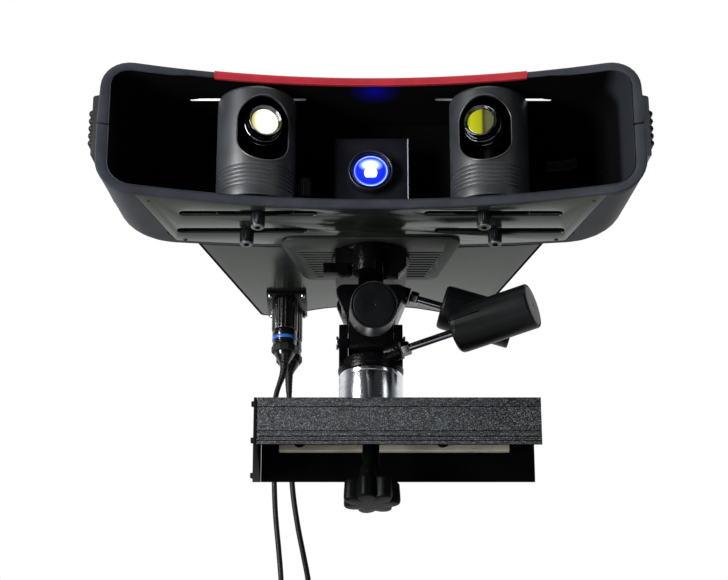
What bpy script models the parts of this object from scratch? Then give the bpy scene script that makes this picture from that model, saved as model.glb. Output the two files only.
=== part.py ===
"""A structured-light scanner on a three-way head, a post and a rail section.

Metres, +Z up, X to the right seen from the scanner's front, Y to the back. The origin is the
centre of the rail's back face; the post's axis stands in the plane x = 0.
"""

import math

import bmesh
import bpy
from mathutils import Matrix, Vector

# General clearances
GAP = 0.0003
OVERRUN = 0.004
RUNNING = 0.0004
MERGE = 0.00001

# Rail section
RAIL_LEFT, RAIL_RIGHT = -0.105, 0.157
RAIL_DEPTH, RAIL_HEIGHT = 0.104, 0.046
RAIL_TOP_THICK, RAIL_WALL = 0.004, 0.0032
RAIL_GROOVE_WIDE, RAIL_GROOVE_DEEP = 0.0009, 0.0007
RAIL_GROOVE_DROPS = (0.0095, 0.0333, 0.0385, 0.0428)
CAP_FRONT_THICK, CAP_BACK_THICK = 0.003, 0.008
CAP_SCREW_RADIUS, CAP_SCREW_HIGH, CAP_SCREW_INSET = 0.0027, 0.0022, 0.005
STRIP_LOW_DROP, STRIP_TALL, STRIP_DEEP = 0.0175, 0.0072, 0.006
STRIP_LEFT, STRIP_RIGHT = -0.088, 0.133
STRIP_CLIP_RADIUS, STRIP_CLIP_PROUD, STRIP_CLIP_RISE = 0.0066, 0.0035, 0.0026
STRIP_CLIP_PLACES = (-0.068, 0.069)

# Post, knob and head
POST_RADIUS, POST_HEIGHT = 0.0306, 0.0415
POST_BORE_RADIUS, POST_BORE_DEEP = 0.0054, 0.022
KNOB_RADIUS, KNOB_WAVE, KNOB_LOBES, KNOB_THICK = 0.0235, 0.0030, 7, 0.022
KNOB_HUB_RADIUS, KNOB_HUB_TALL = 0.010, 0.0125
KNOB_STEM_RADIUS, KNOB_STEM_TALL, KNOB_THREAD_RADIUS = 0.008, 0.0484, 0.005
COLLAR_TALL, EAR_THICK, EAR_RADIUS = 0.012, 0.0088, 0.018
TILT_RISE, ROLL_RISE = 0.0343, 0.045
PIN_RADIUS, PIN_HEAD_RADIUS, PIN_HEAD_THICK = 0.0047, 0.0065, 0.0022
BARREL_RADIUS, BODY_HALF_DEPTH = 0.017, 0.020
VEE_LOW_RISE, VEE_LOW_HALF, VEE_TOP_HALF, VEE_TOP_ABOVE_ROLL = 0.0195, 0.023, 0.033, 0.008
VEE_CORNER = 0.007
TONGUE_RADIUS, TONGUE_HALF_DEPTH, SLOT_RIGHT = 0.012, 0.0117, 0.018
BOSS_RADIUS, BOSS_LONG = 0.0085, 0.007
PLATFORM_RISE, PLATFORM_THICK, PLATFORM_HALF = 0.024, 0.015, 0.034
PLATFORM_FRONT, PLATFORM_BACK = 0.036, 0.032
FRONT_BLOCK_LEFT, FRONT_BLOCK_BACK, FRONT_BLOCK_DROP = 0.012, 0.021, 0.012
FRONT_BLOCK_CHAMFER = 0.008
HUB_RADIUS, HUB_SIDE, HUB_FORWARD = 0.014, 0.003, 0.0352
LEVER_LONG, LEVER_WIDE, LEVER_THICK, LEVER_PIVOT_SIDE = 0.028, 0.014, 0.0102, 0.0245
LEVER_PIN_RADIUS, LEVER_PIN_DEEP = 0.003, 0.006
QUICK_RADIUS, QUICK_THICK, QUICK_SCREW_RADIUS, QUICK_SCREW_TALL = 0.038, 0.006, 0.0047, 0.013

# Screw handles: start beside the post's axis and below the deck, and direction
ROD_RADIUS, GRIP_RADIUS, GRIP_LONG, GRIP_ROUND = 0.0037, 0.0215, 0.078, 0.003
ROD_NUT_RADIUS, ROD_NUT_LONG = 0.0068, 0.009
PAN_START, PAN_WAY, PAN_ROD_LONG = (0.0290, -0.0258, -0.1111), (0.913, -0.375, 0.180), 0.0555
TILT_START, TILT_WAY, TILT_ROD_LONG = (0.0, -0.0275, -0.0805), (0.02, -0.949, -0.302), 0.050
ROLL_START, ROLL_WAY, ROLL_ROD_LONG = (0.0372, 0.0015, -0.0437), (0.959, 0.068, -0.273), 0.0325
ROLL_GRIP_LONG = 0.0715

# Scanner hood; heights are above the deck, its flat underside
HEAD_SETBACK = 0.104
HOOD_HALF, HOOD_TALL, HOOD_DEEP = 0.2555, 0.1384, 0.086
HOOD_FRONT_RADIUS, HOOD_REAR_RADIUS = 0.797, 1.526
HOOD_TAPER, HOOD_CORNER, HOOD_REAR_CORNER = 0.018, 0.030, 0.020
REAR_CORNER_SHARE = 0.82
SECTION_SHARES = (0.0, 0.3, 0.6, 0.82, 0.93, 0.98, 1.0)
RIM_SIDE, RIM_TOP, RIM_LOW, RIM_CORNER, BACK_WALL = 0.0115, 0.0083, 0.011, 0.019, 0.004
PARTING_BELOW_MIDDLE = 0.001
RED_HALF, RED_THICK, RED_DEEP, RED_PROUD, RED_LIP_DEEP = 0.149, 0.005, 0.066, 0.0006, 0.004
CEILING_SLOT_IN, CEILING_SLOT_OUT, CEILING_SLOT_WIDE, CEILING_SLOT_DEEP = 0.058, 0.181, 0.0052, 0.0024

# Bottom plate under the hood
DECK_THICK, DECK_FRONT_HALF, DECK_REAR_HALF, DECK_MARGIN = 0.0024, 0.219, 0.187, 0.007
SLOT_WIDE = 0.0100
FRONT_SLOT_IN, FRONT_SLOT_OUT, REAR_SLOT_IN, REAR_SLOT_OUT = 0.050, 0.180, 0.0605, 0.1845

# Camera turrets
TURRET_LEFT_SIDE, TURRET_RIGHT_SIDE, STUD_SIDE = 0.1097, 0.1136, 0.112
TURRET_BACK, TURRET_RADIUS, TURRET_WALL = 0.030, 0.0378, 0.003
TURRET_HEADROOM, TURRET_ROOF = 0.0026, 0.003
WINDOW_TOE_LEFT, WINDOW_TOE_RIGHT, LENS_TOE = math.radians(15), math.radians(10), math.radians(16.5)
GROOVE_COUNT, GROOVE_FIRST, GROOVE_PITCH, GROOVE_DEEP, GROOVE_WIDE = 6, 0.0225, 0.0043, 0.0009, 0.0016
WINDOW_WIDE, WINDOW_BELOW_LENS, WINDOW_ABOVE_LENS = 0.0523, 0.0445, 0.0275
TOP_PIN_RADIUS, TOP_PIN_IN_SLOT = 0.0020, 0.0020
PIVOT_RADIUS, PIVOT_DEEP = 0.006, 0.0048
CARRIAGE_HALF_WIDE, CARRIAGE_HALF_DEEP, CARRIAGE_WINDOW_IN, CARRIAGE_WINDOW_OUT = 0.018, 0.025, 0.045, 0.194
CARRIAGE_THICK = 0.0073
STUD_RADIUS, STUD_DEEP, STUD_HALF_SPACING, STUD_TOE_SHIFT = 0.0022, 0.0155, 0.0183, 0.006
NUT_RADIUS, NUT_TALL = 0.0065, 0.015
LENS_BELOW_TOP, CAMERA_HALF, CAMERA_DEEP, CAMERA_FRONT = 0.0365, 0.0145, 0.024, 0.0125
BRACKET_HALF = 0.008
LENS_RADIUS, LENS_FRONT, LENS_BORE, LENS_CONE_DEEP, LENS_CONE_RADIUS = 0.0163, 0.036, 0.0146, 0.0045, 0.0135
FOCUS_RADIUS, FOCUS_START, FOCUS_LONG = 0.0186, 0.0155, 0.011
FILTER_RADIUS, FILTER_THICK = 0.0131, 0.0012

# Projector in the middle of the hood
PROJECTOR_BELOW_CEILING, PROJECTOR_FRONT = 0.0667, 0.0445
HOUSING_HALF, HOUSING_HEADROOM, HOUSING_FRONT = 0.0365, 0.0271, 0.053
ENGINE_RADIUS, ENGINE_BORE, ENGINE_BORE_DEEP = 0.0192, 0.0178, 0.007
RING_RADIUS, RING_LONG, GLASS_RADIUS, GLASS_THICK, GLASS_DOME = 0.0218, 0.0075, 0.0174, 0.003, 0.0025

# Rear housing and what it holds
BODY_FRONT_HALF, BODY_REAR_HALF, BODY_REAR, BODY_BELOW_HOOD, BODY_WALL = 0.165, 0.1105, 0.2475, 0.0384, 0.003
BODY_NOTCH, BODY_NOTCH_HALF, BODY_ROUND = 0.020, 0.030, 0.005
VENT_THICK, VENT_FRONT, VENT_REAR, VENT_FRONT_HALF, VENT_REAR_HALF, VENT_ROUND = (
    0.002, 0.062, 0.156, 0.086, 0.067, 0.012)
SLIT_COUNT, SLIT_WIDE, SLIT_FIRST, SLIT_PITCH, SLIT_INNER, SLIT_FRONT_OUT, SLIT_REAR_OUT = (
    11, 0.0022, 0.092, 0.0055, 0.036, 0.069, 0.053)
BOARD_HALF, BOARD_FRONT, BOARD_BACK, BOARD_THICK, BOARD_RISE = 0.085, 0.165, 0.218, 0.0016, 0.012
STANDOFF_RADIUS, STANDOFF_INSET = 0.003, 0.006
SINK_HALF, SINK_FRONT, SINK_DEEP, SINK_BASE, SINK_HEADROOM = 0.034, 0.1115, 0.040, 0.005, 0.015
FIN_COUNT, FIN_THICK = 9, 0.0016
FAN_HALF, FAN_THICK, FAN_BORE, FAN_BELOW_SINK = 0.020, 0.010, 0.0185, 0.030
FAN_BLADES, FAN_HUB_RADIUS, FAN_BLADE_REACH, FAN_BLADE_THICK = 7, 0.007, 0.0175, 0.0016
FAN_BAR_WIDE, FAN_BAR_THICK, FAN_PORT_WIDE = 0.005, 0.0016, 0.0095

# Side grips
GRIP_PAD_THICK, GRIP_PAD_HALF_TALL, GRIP_PAD_FRONT, GRIP_PAD_BACK = 0.0085, 0.032, -0.027, 0.076
GRIP_PAD_ABOVE_PARTING = 0.0053
GRIP_SLOPE_SHARE = 0.165
RIB_COUNT, RIB_PITCH, RIB_TALL, RIB_PROUD = 5, 0.0075, 0.0036, 0.005

# Connectors under the rear housing
SOCKET_1_SIDE, SOCKET_1_BACK, SOCKET_2_SIDE, SOCKET_2_BACK = -0.0862, 0.205, -0.0822, 0.231
BLOCK_LEFT, BLOCK_RIGHT, BLOCK_FRONT, BLOCK_BACK, BLOCK_THICK = -0.1045, -0.0645, 0.1865, 0.2440, 0.003
SOCKET_RADIUS, SOCKET_DROP = 0.0100, 0.030
SLEEVE_RADIUS, SLEEVE_BORE, SLEEVE_DROP = 0.0127, 0.0105, 0.0370
COLLAR_RADIUS, COLLAR_DROP, PLUG_NUT_RADIUS, PLUG_NUT_DROP, PLUG_DROP, PLUG_TIP_RADIUS = (
    0.0120, 0.0530, 0.0131, 0.0605, 0.0715, 0.0046)

# Cords
CORD_DIAMETER = 0.0054
CORD_SIDE_STEPS = 2
COIL_TURNS, COIL_LAYERS, COIL_MIDDLE_RADIUS, COIL_PITCH_SHARE = 9.25, 4, 0.0305, 1.14
COIL_TURN_POINTS = 20
COIL_ENTRY_RADIUS, COIL_TAIL = 0.022, 0.030
PLUG_LONG, PLUG_BODY_RADIUS, PLUG_NOSE_RADIUS, PLUG_NOSE_LONG = 0.030, 0.0062, 0.0028, 0.010
USB_HALF_WIDE, USB_HALF_THICK, USB_SHELL_HALF_WIDE, USB_SHELL_HALF_THICK = 0.0082, 0.0052, 0.0060, 0.0023

# Places that follow from the sizes above
AXIS_Y = -RAIL_DEPTH / 2
RAIL_TOP = RAIL_HEIGHT / 2
POST_LOW = RAIL_TOP + GAP
BASE_LOW = POST_LOW + POST_HEIGHT + GAP
TILT_Z = BASE_LOW + TILT_RISE
ROLL_Z = TILT_Z + ROLL_RISE
PLATFORM_LOW = ROLL_Z + PLATFORM_RISE
PLATFORM_TOP = PLATFORM_LOW + PLATFORM_THICK
QUICK_LOW = PLATFORM_TOP + GAP
VENT_LOW = QUICK_LOW + QUICK_THICK + GAP
DECK_Z = VENT_LOW + VENT_THICK + GAP
FRONT_Y = AXIS_Y - HEAD_SETBACK
DECK_TOP = DECK_THICK + GAP
CARRIAGE_TOP = DECK_TOP + CARRIAGE_THICK
TURRET_LOW = RIM_LOW + GAP
CEILING = HOOD_TALL - RIM_TOP
PARTING_RISE = HOOD_TALL / 2 - PARTING_BELOW_MIDDLE
GRIP_PAD_MIDDLE = PARTING_RISE + GRIP_PAD_ABOVE_PARTING
TURRET_HIGH = CEILING - TURRET_HEADROOM
TOP_PIN_TALL = TURRET_HEADROOM + TOP_PIN_IN_SLOT
LENS_RISE = TURRET_HIGH - LENS_BELOW_TOP
PROJECTOR_RISE = CEILING - PROJECTOR_BELOW_CEILING
HOUSING_HIGH = CEILING - HOUSING_HEADROOM
BODY_TALL = HOOD_TALL - BODY_BELOW_HOOD
SINK_HIGH = BODY_TALL - BODY_WALL - SINK_HEADROOM
FAN_RISE = SINK_HIGH - FAN_BELOW_SINK
CORD_DROP = -PLUG_DROP - GAP

# Cord routes from plug to coil: x, y behind the hood's front and z above the deck, chosen by hand
LEFT_ROUTE = (
    (SOCKET_1_SIDE, SOCKET_1_BACK, CORD_DROP), (-0.0863, 0.2050, -0.0765), (-0.0876, 0.2049, -0.0845),
    (-0.0908, 0.2047, -0.0945), (-0.0938, 0.2042, -0.1060), (-0.0954, 0.2038, -0.1250),
    (-0.0956, 0.2034, -0.1550), (-0.0945, 0.2032, -0.1900), (-0.0925, 0.2030, -0.2300),
    (-0.0885, 0.2030, -0.2700), (-0.0862, 0.2030, -0.2960), (-0.0860, 0.2030, -0.3100),
)
RIGHT_ROUTE = (
    (SOCKET_2_SIDE, SOCKET_2_BACK, CORD_DROP), (-0.0822, 0.2310, -0.0820), (-0.0816, 0.2312, -0.1000),
    (-0.0805, 0.2316, -0.1300), (-0.0792, 0.2320, -0.1650), (-0.0765, 0.2320, -0.2000),
    (-0.0712, 0.2320, -0.2350), (-0.0650, 0.2320, -0.2660), (-0.0606, 0.2320, -0.2900),
    (-0.0600, 0.2320, -0.3100),
)

FINISHES = {
    "slate_plastic": ((0.042, 0.047, 0.058), 0.5, 0.0),
    "red_panel": ((0.39, 0.02, 0.03), 0.35, 0.0),
    "satin_black": ((0.02, 0.021, 0.022), 0.3, 0.2),
    "turret_plastic": ((0.022, 0.024, 0.026), 0.6, 0.0),
    "black_metal": ((0.012, 0.012, 0.013), 0.4, 0.6),
    "polished_steel": ((0.75, 0.76, 0.78), 0.12, 1.0),
    "grip_rubber": ((0.018, 0.019, 0.02), 0.7, 0.0),
    "hammertone": ((0.02, 0.022, 0.025), 0.45, 0.3),
    "warm_grey": ((0.27, 0.27, 0.24), 0.6, 0.0),
    "circuit_board": ((0.01, 0.09, 0.03), 0.5, 0.0),
    "bare_aluminium": ((0.6, 0.6, 0.6), 0.35, 1.0),
    "cord_jacket": ((0.012, 0.012, 0.012), 0.5, 0.0),
    "filter_glass": ((0.62, 0.6, 0.42), 0.08, 0.0),
    "projector_glass": ((0.02, 0.1, 0.8), 0.05, 0.0),
}


def deck(x, back, rise):
    """A point given from the hood's front centre and the deck, as a world point."""
    return Vector((x, FRONT_Y + back, DECK_Z + rise))


def head(x, back, drop):
    """A point given from the post's axis and the deck, as a world point."""
    return Vector((x, AXIS_Y + back, DECK_Z + drop))


def collection(name):
    found = bpy.data.collections.get(name)
    if found is None:
        found = bpy.data.collections.new(name)
        bpy.context.scene.collection.children.link(found)
    return found


def finish(name):
    found = bpy.data.materials.get(name)
    if found is None:
        colour, roughness, metallic = FINISHES[name]
        found = bpy.data.materials.new(name)
        found.use_nodes = True
        shader = found.node_tree.nodes["Principled BSDF"]
        shader.inputs["Base Color"].default_value = (*colour, 1.0)
        shader.inputs["Roughness"].default_value = roughness
        shader.inputs["Metallic"].default_value = metallic
        found.diffuse_color = (*colour, 1.0)
    return found


def keep(name, mesh, finish_name=None):
    """A mesh as a part with a finish, or as a cutter without one."""
    obj = bpy.data.objects.new(name, mesh)
    if finish_name:
        mesh.materials.append(finish(finish_name))
        collection("scanner").objects.link(obj)
    else:
        collection("cutters").objects.link(obj)
        obj.hide_render = True
        obj.display_type = "WIRE"
    return obj


def mesh_of(name, shape):
    """The bmesh as a mesh, with its faces turned out."""
    bmesh.ops.recalc_face_normals(shape, faces=shape.faces)
    mesh = bpy.data.meshes.new(name)
    shape.to_mesh(mesh)
    shape.free()
    return mesh


def box(name, low, high, finish_name=None):
    low, high = Vector(low), Vector(high)
    shape = bmesh.new()
    bmesh.ops.create_cube(shape, size=1)
    middle, size = (low + high) / 2, high - low
    place = Matrix.Translation(middle) @ Matrix.Diagonal((*size, 1))
    bmesh.ops.transform(shape, verts=shape.verts, matrix=place)
    return keep(name, mesh_of(name, shape), finish_name)


def turn_to(way):
    """The rotation that takes +Z to the direction given."""
    return Vector((0, 0, 1)).rotation_difference(Vector(way).normalized()).to_matrix().to_4x4()


def rod(name, start, end, radius, finish_name=None, sides=24):
    start, end = Vector(start), Vector(end)
    shape = bmesh.new()
    bmesh.ops.create_cone(shape, cap_ends=True, segments=sides, radius1=radius, radius2=radius,
                          depth=(end - start).length)
    place = Matrix.Translation((start + end) / 2) @ turn_to(end - start)
    bmesh.ops.transform(shape, verts=shape.verts, matrix=place)
    return keep(name, mesh_of(name, shape), finish_name)


def turned(name, profile, place, way, finish_name=None, steps=24, closed=False):
    """A profile of (radius, height) pairs, down its outer side, turned about the way through place."""
    mesh = bpy.data.meshes.new(name)
    count = len(profile)
    edges = [(i, i + 1) for i in range(count - 1)] + ([(count - 1, 0)] if closed else [])
    mesh.from_pydata([(radius, 0, height) for radius, height in profile], edges, [])
    obj = keep(name, mesh, finish_name)
    obj.matrix_world = Matrix.Translation(Vector(place)) @ turn_to(way)
    screw = obj.modifiers.new("turn", "SCREW")
    screw.steps = screw.render_steps = steps
    screw.use_merge_vertices = True
    screw.merge_threshold = MERGE
    screw.use_smooth_shade = True
    return obj


def outline(name, points, low, high, finish_name=None, plane=None):
    """A flat outline in XY filled from low to high along Z, or in the plane of a given matrix."""
    curve = bpy.data.curves.new(name, "CURVE")
    curve.dimensions = "2D"
    curve.fill_mode = "BOTH"
    curve.extrude = (high - low) / 2
    spline = curve.splines.new("POLY")
    spline.points.add(len(points) - 1)
    for point, (x, y) in zip(spline.points, points):
        point.co = (x, y, 0, 1)
    spline.use_cyclic_u = True
    guide = bpy.data.objects.new(name, curve)
    mesh = bpy.data.meshes.new_from_object(guide)
    bpy.data.objects.remove(guide)
    bpy.data.curves.remove(curve)
    shape = bmesh.new()
    shape.from_mesh(mesh)
    bpy.data.meshes.remove(mesh)
    bmesh.ops.remove_doubles(shape, verts=shape.verts, dist=MERGE)
    place = (plane or Matrix.Identity(4)) @ Matrix.Translation((0, 0, (low + high) / 2))
    bmesh.ops.transform(shape, verts=shape.verts, matrix=place)
    return keep(name, mesh_of(name, shape), finish_name)


def boolean(obj, other, operation):
    step = obj.modifiers.new(other.name, "BOOLEAN")
    step.operation = operation
    step.object = other
    step.solver = "EXACT"
    return obj


def cut(obj, *cutters):
    for cutter in cutters:
        boolean(obj, cutter, "DIFFERENCE")
    return obj


def join(obj, *others):
    for other in others:
        boolean(obj, other, "UNION")
    return obj


def bevel(obj, width, segments=2):
    step = obj.modifiers.new("round", "BEVEL")
    step.width = width
    step.segments = segments
    step.limit_method = "ANGLE"
    step.angle_limit = math.radians(50)
    return obj


def pivot(obj, point):
    """Puts the origin of an unturned object on its joint's axis."""
    point = Vector(point)
    obj.data.transform(Matrix.Translation(-point))
    obj.location = point
    return obj


def arc(x, y, radius, start, end, steps):
    """Points on a circle, angles in degrees."""
    angles = [math.radians(start + (end - start) * i / steps) for i in range(steps + 1)]
    return [(x + radius * math.cos(a), y + radius * math.sin(a)) for a in angles]


def front_y(x):
    """The hood's hollow front line in plan."""
    return FRONT_Y - (HOOD_FRONT_RADIUS - math.sqrt(HOOD_FRONT_RADIUS**2 - x * x))


def rear_y(x):
    return FRONT_Y + HOOD_DEEP - (HOOD_REAR_RADIUS - math.sqrt(HOOD_REAR_RADIUS**2 - x * x))


def hood_half(share):
    """The hood's half width at a share of its depth, drawn in at the rear corners."""
    late = max(0.0, (share - REAR_CORNER_SHARE) / (1 - REAR_CORNER_SHARE))
    return HOOD_HALF - HOOD_TAPER * share - HOOD_REAR_CORNER * (1 - math.sqrt(1 - late * late))


def hood_loop(share, half, low, high, corner, back_wall, flat_steps=7, corner_steps=4):
    """One rounded section of the hood, from bottom middle over the right side to top middle and back."""
    flat = [(half - corner) * i / flat_steps for i in range(flat_steps)]
    right = [(x, low) for x in flat]
    right += arc(half - corner, low + corner, corner, -90, 0, corner_steps)
    right += arc(half - corner, high - corner, corner, 0, 90, corner_steps)
    right += [(x, high) for x in reversed(flat)]
    loop = right + [(-x, z) for x, z in reversed(right[1:-1])]
    points = []
    for x, z in loop:
        start = front_y(x)
        points.append((x, start + share * (rear_y(x) - back_wall - start), DECK_Z + z))
    return points


def hood_shell():
    """The whole hood as one closed shell: outer loft, inner loft, front rim and back wall."""
    shape = bmesh.new()
    outer, inner = [], []
    for share in SECTION_SHARES:
        half = hood_half(share)
        outer.append([shape.verts.new(p) for p in hood_loop(share, half, 0, HOOD_TALL, HOOD_CORNER, 0)])
        inner.append([shape.verts.new(p) for p in hood_loop(
            share, half - RIM_SIDE, RIM_LOW, CEILING, RIM_CORNER, BACK_WALL)])
    around = len(outer[0])
    for loops in (outer, inner):
        for near, far in zip(loops, loops[1:]):
            for i in range(around):
                j = (i + 1) % around
                shape.faces.new((near[i], near[j], far[j], far[i]))
        last = loops[-1]
        for i in range(around // 4):
            for a, b in ((i, i + 1), (-i, -i - 1)):
                top_a, top_b = around // 2 - a, around // 2 - b
                face = [last[a % around], last[b % around], last[top_b % around], last[top_a % around]]
                shape.faces.new(face)
    for i in range(around):
        j = (i + 1) % around
        shape.faces.new((outer[0][i], outer[0][j], inner[0][j], inner[0][i]))
    return mesh_of("hood", shape)


def bottom_outline(grow):
    """The bottom plate's outline in plan, grown by a clearance."""
    steps = 10
    half_front, half_rear = DECK_FRONT_HALF + grow, DECK_REAR_HALF + grow
    front = [(-half_front + 2 * half_front * i / steps) for i in range(steps + 1)]
    rear = [(half_rear - 2 * half_rear * i / steps) for i in range(steps + 1)]
    points = [(x, front_y(x) + DECK_MARGIN - grow) for x in front]
    return points + [(x, rear_y(x) - BACK_WALL + grow) for x in rear]


def red_outline(grow, front_grow, deep):
    """The red panel's outline in plan to a given depth, grown by a clearance at its sides and back."""
    steps = 8
    half = RED_HALF + grow
    xs = [-half + 2 * half * i / steps for i in range(steps + 1)]
    points = [(x, front_y(x) - front_grow) for x in xs]
    return points + [(x, front_y(x) + deep + grow) for x in reversed(xs)]


def slot_cutter(name, side, inner, outer, back, wide, low, high):
    """A round-ended slot along X, from low to high above the deck."""
    middle, radius = FRONT_Y + back, wide / 2
    ends = sorted((side * (inner + radius), side * (outer - radius)))
    points = arc(ends[1], middle, radius, -90, 90, 5) + arc(ends[0], middle, radius, 90, 270, 5)
    return outline(name, points, DECK_Z + low, DECK_Z + high)


def casings():
    whole = hood_shell()
    half_space = HOOD_HALF + HEAD_SETBACK
    upper = keep("upper_casing", whole, "slate_plastic")
    lower = keep("lower_casing", whole.copy(), "slate_plastic")
    split = PARTING_RISE
    cut(upper, box("below_parting", deck(-half_space, -half_space, -OVERRUN),
                   deck(half_space, half_space, split + GAP / 2)))
    cut(lower, box("above_parting", deck(-half_space, -half_space, split - GAP / 2),
                   deck(half_space, half_space, HOOD_TALL + OVERRUN)))
    cut(upper, outline("red_pocket", red_outline(GAP, OVERRUN, RED_DEEP), DECK_Z + HOOD_TALL - RED_THICK,
                       DECK_Z + HOOD_TALL + OVERRUN),
        outline("red_lip_pocket", red_outline(GAP, OVERRUN, RED_LIP_DEEP), DECK_Z + CEILING - OVERRUN,
                DECK_Z + HOOD_TALL + OVERRUN))
    cut(lower, outline("deck_pocket", bottom_outline(GAP), DECK_Z - OVERRUN, DECK_Z + DECK_TOP))
    for side in (-1, 1):
        cut(upper, slot_cutter(f"ceiling_slot_{side}", side, CEILING_SLOT_IN, CEILING_SLOT_OUT, TURRET_BACK,
                               CEILING_SLOT_WIDE, CEILING - OVERRUN, CEILING + CEILING_SLOT_DEEP))
        ends = sorted((side * CARRIAGE_WINDOW_IN, side * CARRIAGE_WINDOW_OUT))
        half_deep = CARRIAGE_HALF_DEEP + RUNNING
        cut(lower, box(f"carriage_window_{side}", deck(ends[0], TURRET_BACK - half_deep, 0),
                       deck(ends[1], TURRET_BACK + half_deep, RIM_LOW + OVERRUN)))


def red_top_panel():
    high = DECK_Z + HOOD_TALL + RED_PROUD
    panel = outline("red_top_panel", red_outline(0, RED_PROUD, RED_DEEP),
                    DECK_Z + HOOD_TALL - RED_THICK + GAP, high, "red_panel")
    join(panel, outline("red_lip", red_outline(0, RED_PROUD, RED_LIP_DEEP), DECK_Z + CEILING, high))


def bottom_plate():
    plate = outline("bottom_plate", bottom_outline(0), DECK_Z, DECK_Z + DECK_THICK, "satin_black")
    front, rear = TURRET_BACK - STUD_HALF_SPACING, TURRET_BACK + STUD_HALF_SPACING
    for side in (-1, 1):
        for place, inner, outer in ((front, FRONT_SLOT_IN, FRONT_SLOT_OUT),
                                    (rear, REAR_SLOT_IN, REAR_SLOT_OUT)):
            cut(plate, slot_cutter(f"slot_{side}_{place}", side, inner, outer, place, SLOT_WIDE,
                                   -OVERRUN, DECK_THICK + OVERRUN))


def side_grips():
    """A ribbed pad on each side, its outline across the hood carried back along the drawn-in wall."""
    low, high = GRIP_PAD_MIDDLE - GRIP_PAD_HALF_TALL, GRIP_PAD_MIDDLE + GRIP_PAD_HALF_TALL
    first = GRIP_PAD_MIDDLE - RIB_PITCH * (RIB_COUNT - 1) / 2
    profile = [(0, low), (GRIP_PAD_THICK, low)]
    for i in range(RIB_COUNT):
        rib = first + i * RIB_PITCH
        profile += [(GRIP_PAD_THICK, rib - RIB_TALL / 2), (GRIP_PAD_THICK + RIB_PROUD, rib - RIB_TALL / 4),
                    (GRIP_PAD_THICK + RIB_PROUD, rib + RIB_TALL / 4), (GRIP_PAD_THICK, rib + RIB_TALL / 2)]
    profile += [(GRIP_PAD_THICK, high), (0, high)]
    slope = GRIP_SLOPE_SHARE
    wall = HOOD_HALF + RUNNING + slope * (front_y(HOOD_HALF) - FRONT_Y)
    for side, name in ((-1, "side_grip_left"), (1, "side_grip_right")):
        plane = Matrix(((side, 0, -side * slope, side * wall), (0, 0, 1, FRONT_Y), (0, 1, 0, DECK_Z),
                        (0, 0, 0, 1)))
        outline(name, profile, GRIP_PAD_FRONT, GRIP_PAD_BACK, "grip_rubber", plane=plane)


def toed_in(side, toe):
    """The direction forwards and in to the middle by an angle."""
    return Vector((-side * math.sin(toe), -math.cos(toe), 0))


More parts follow.
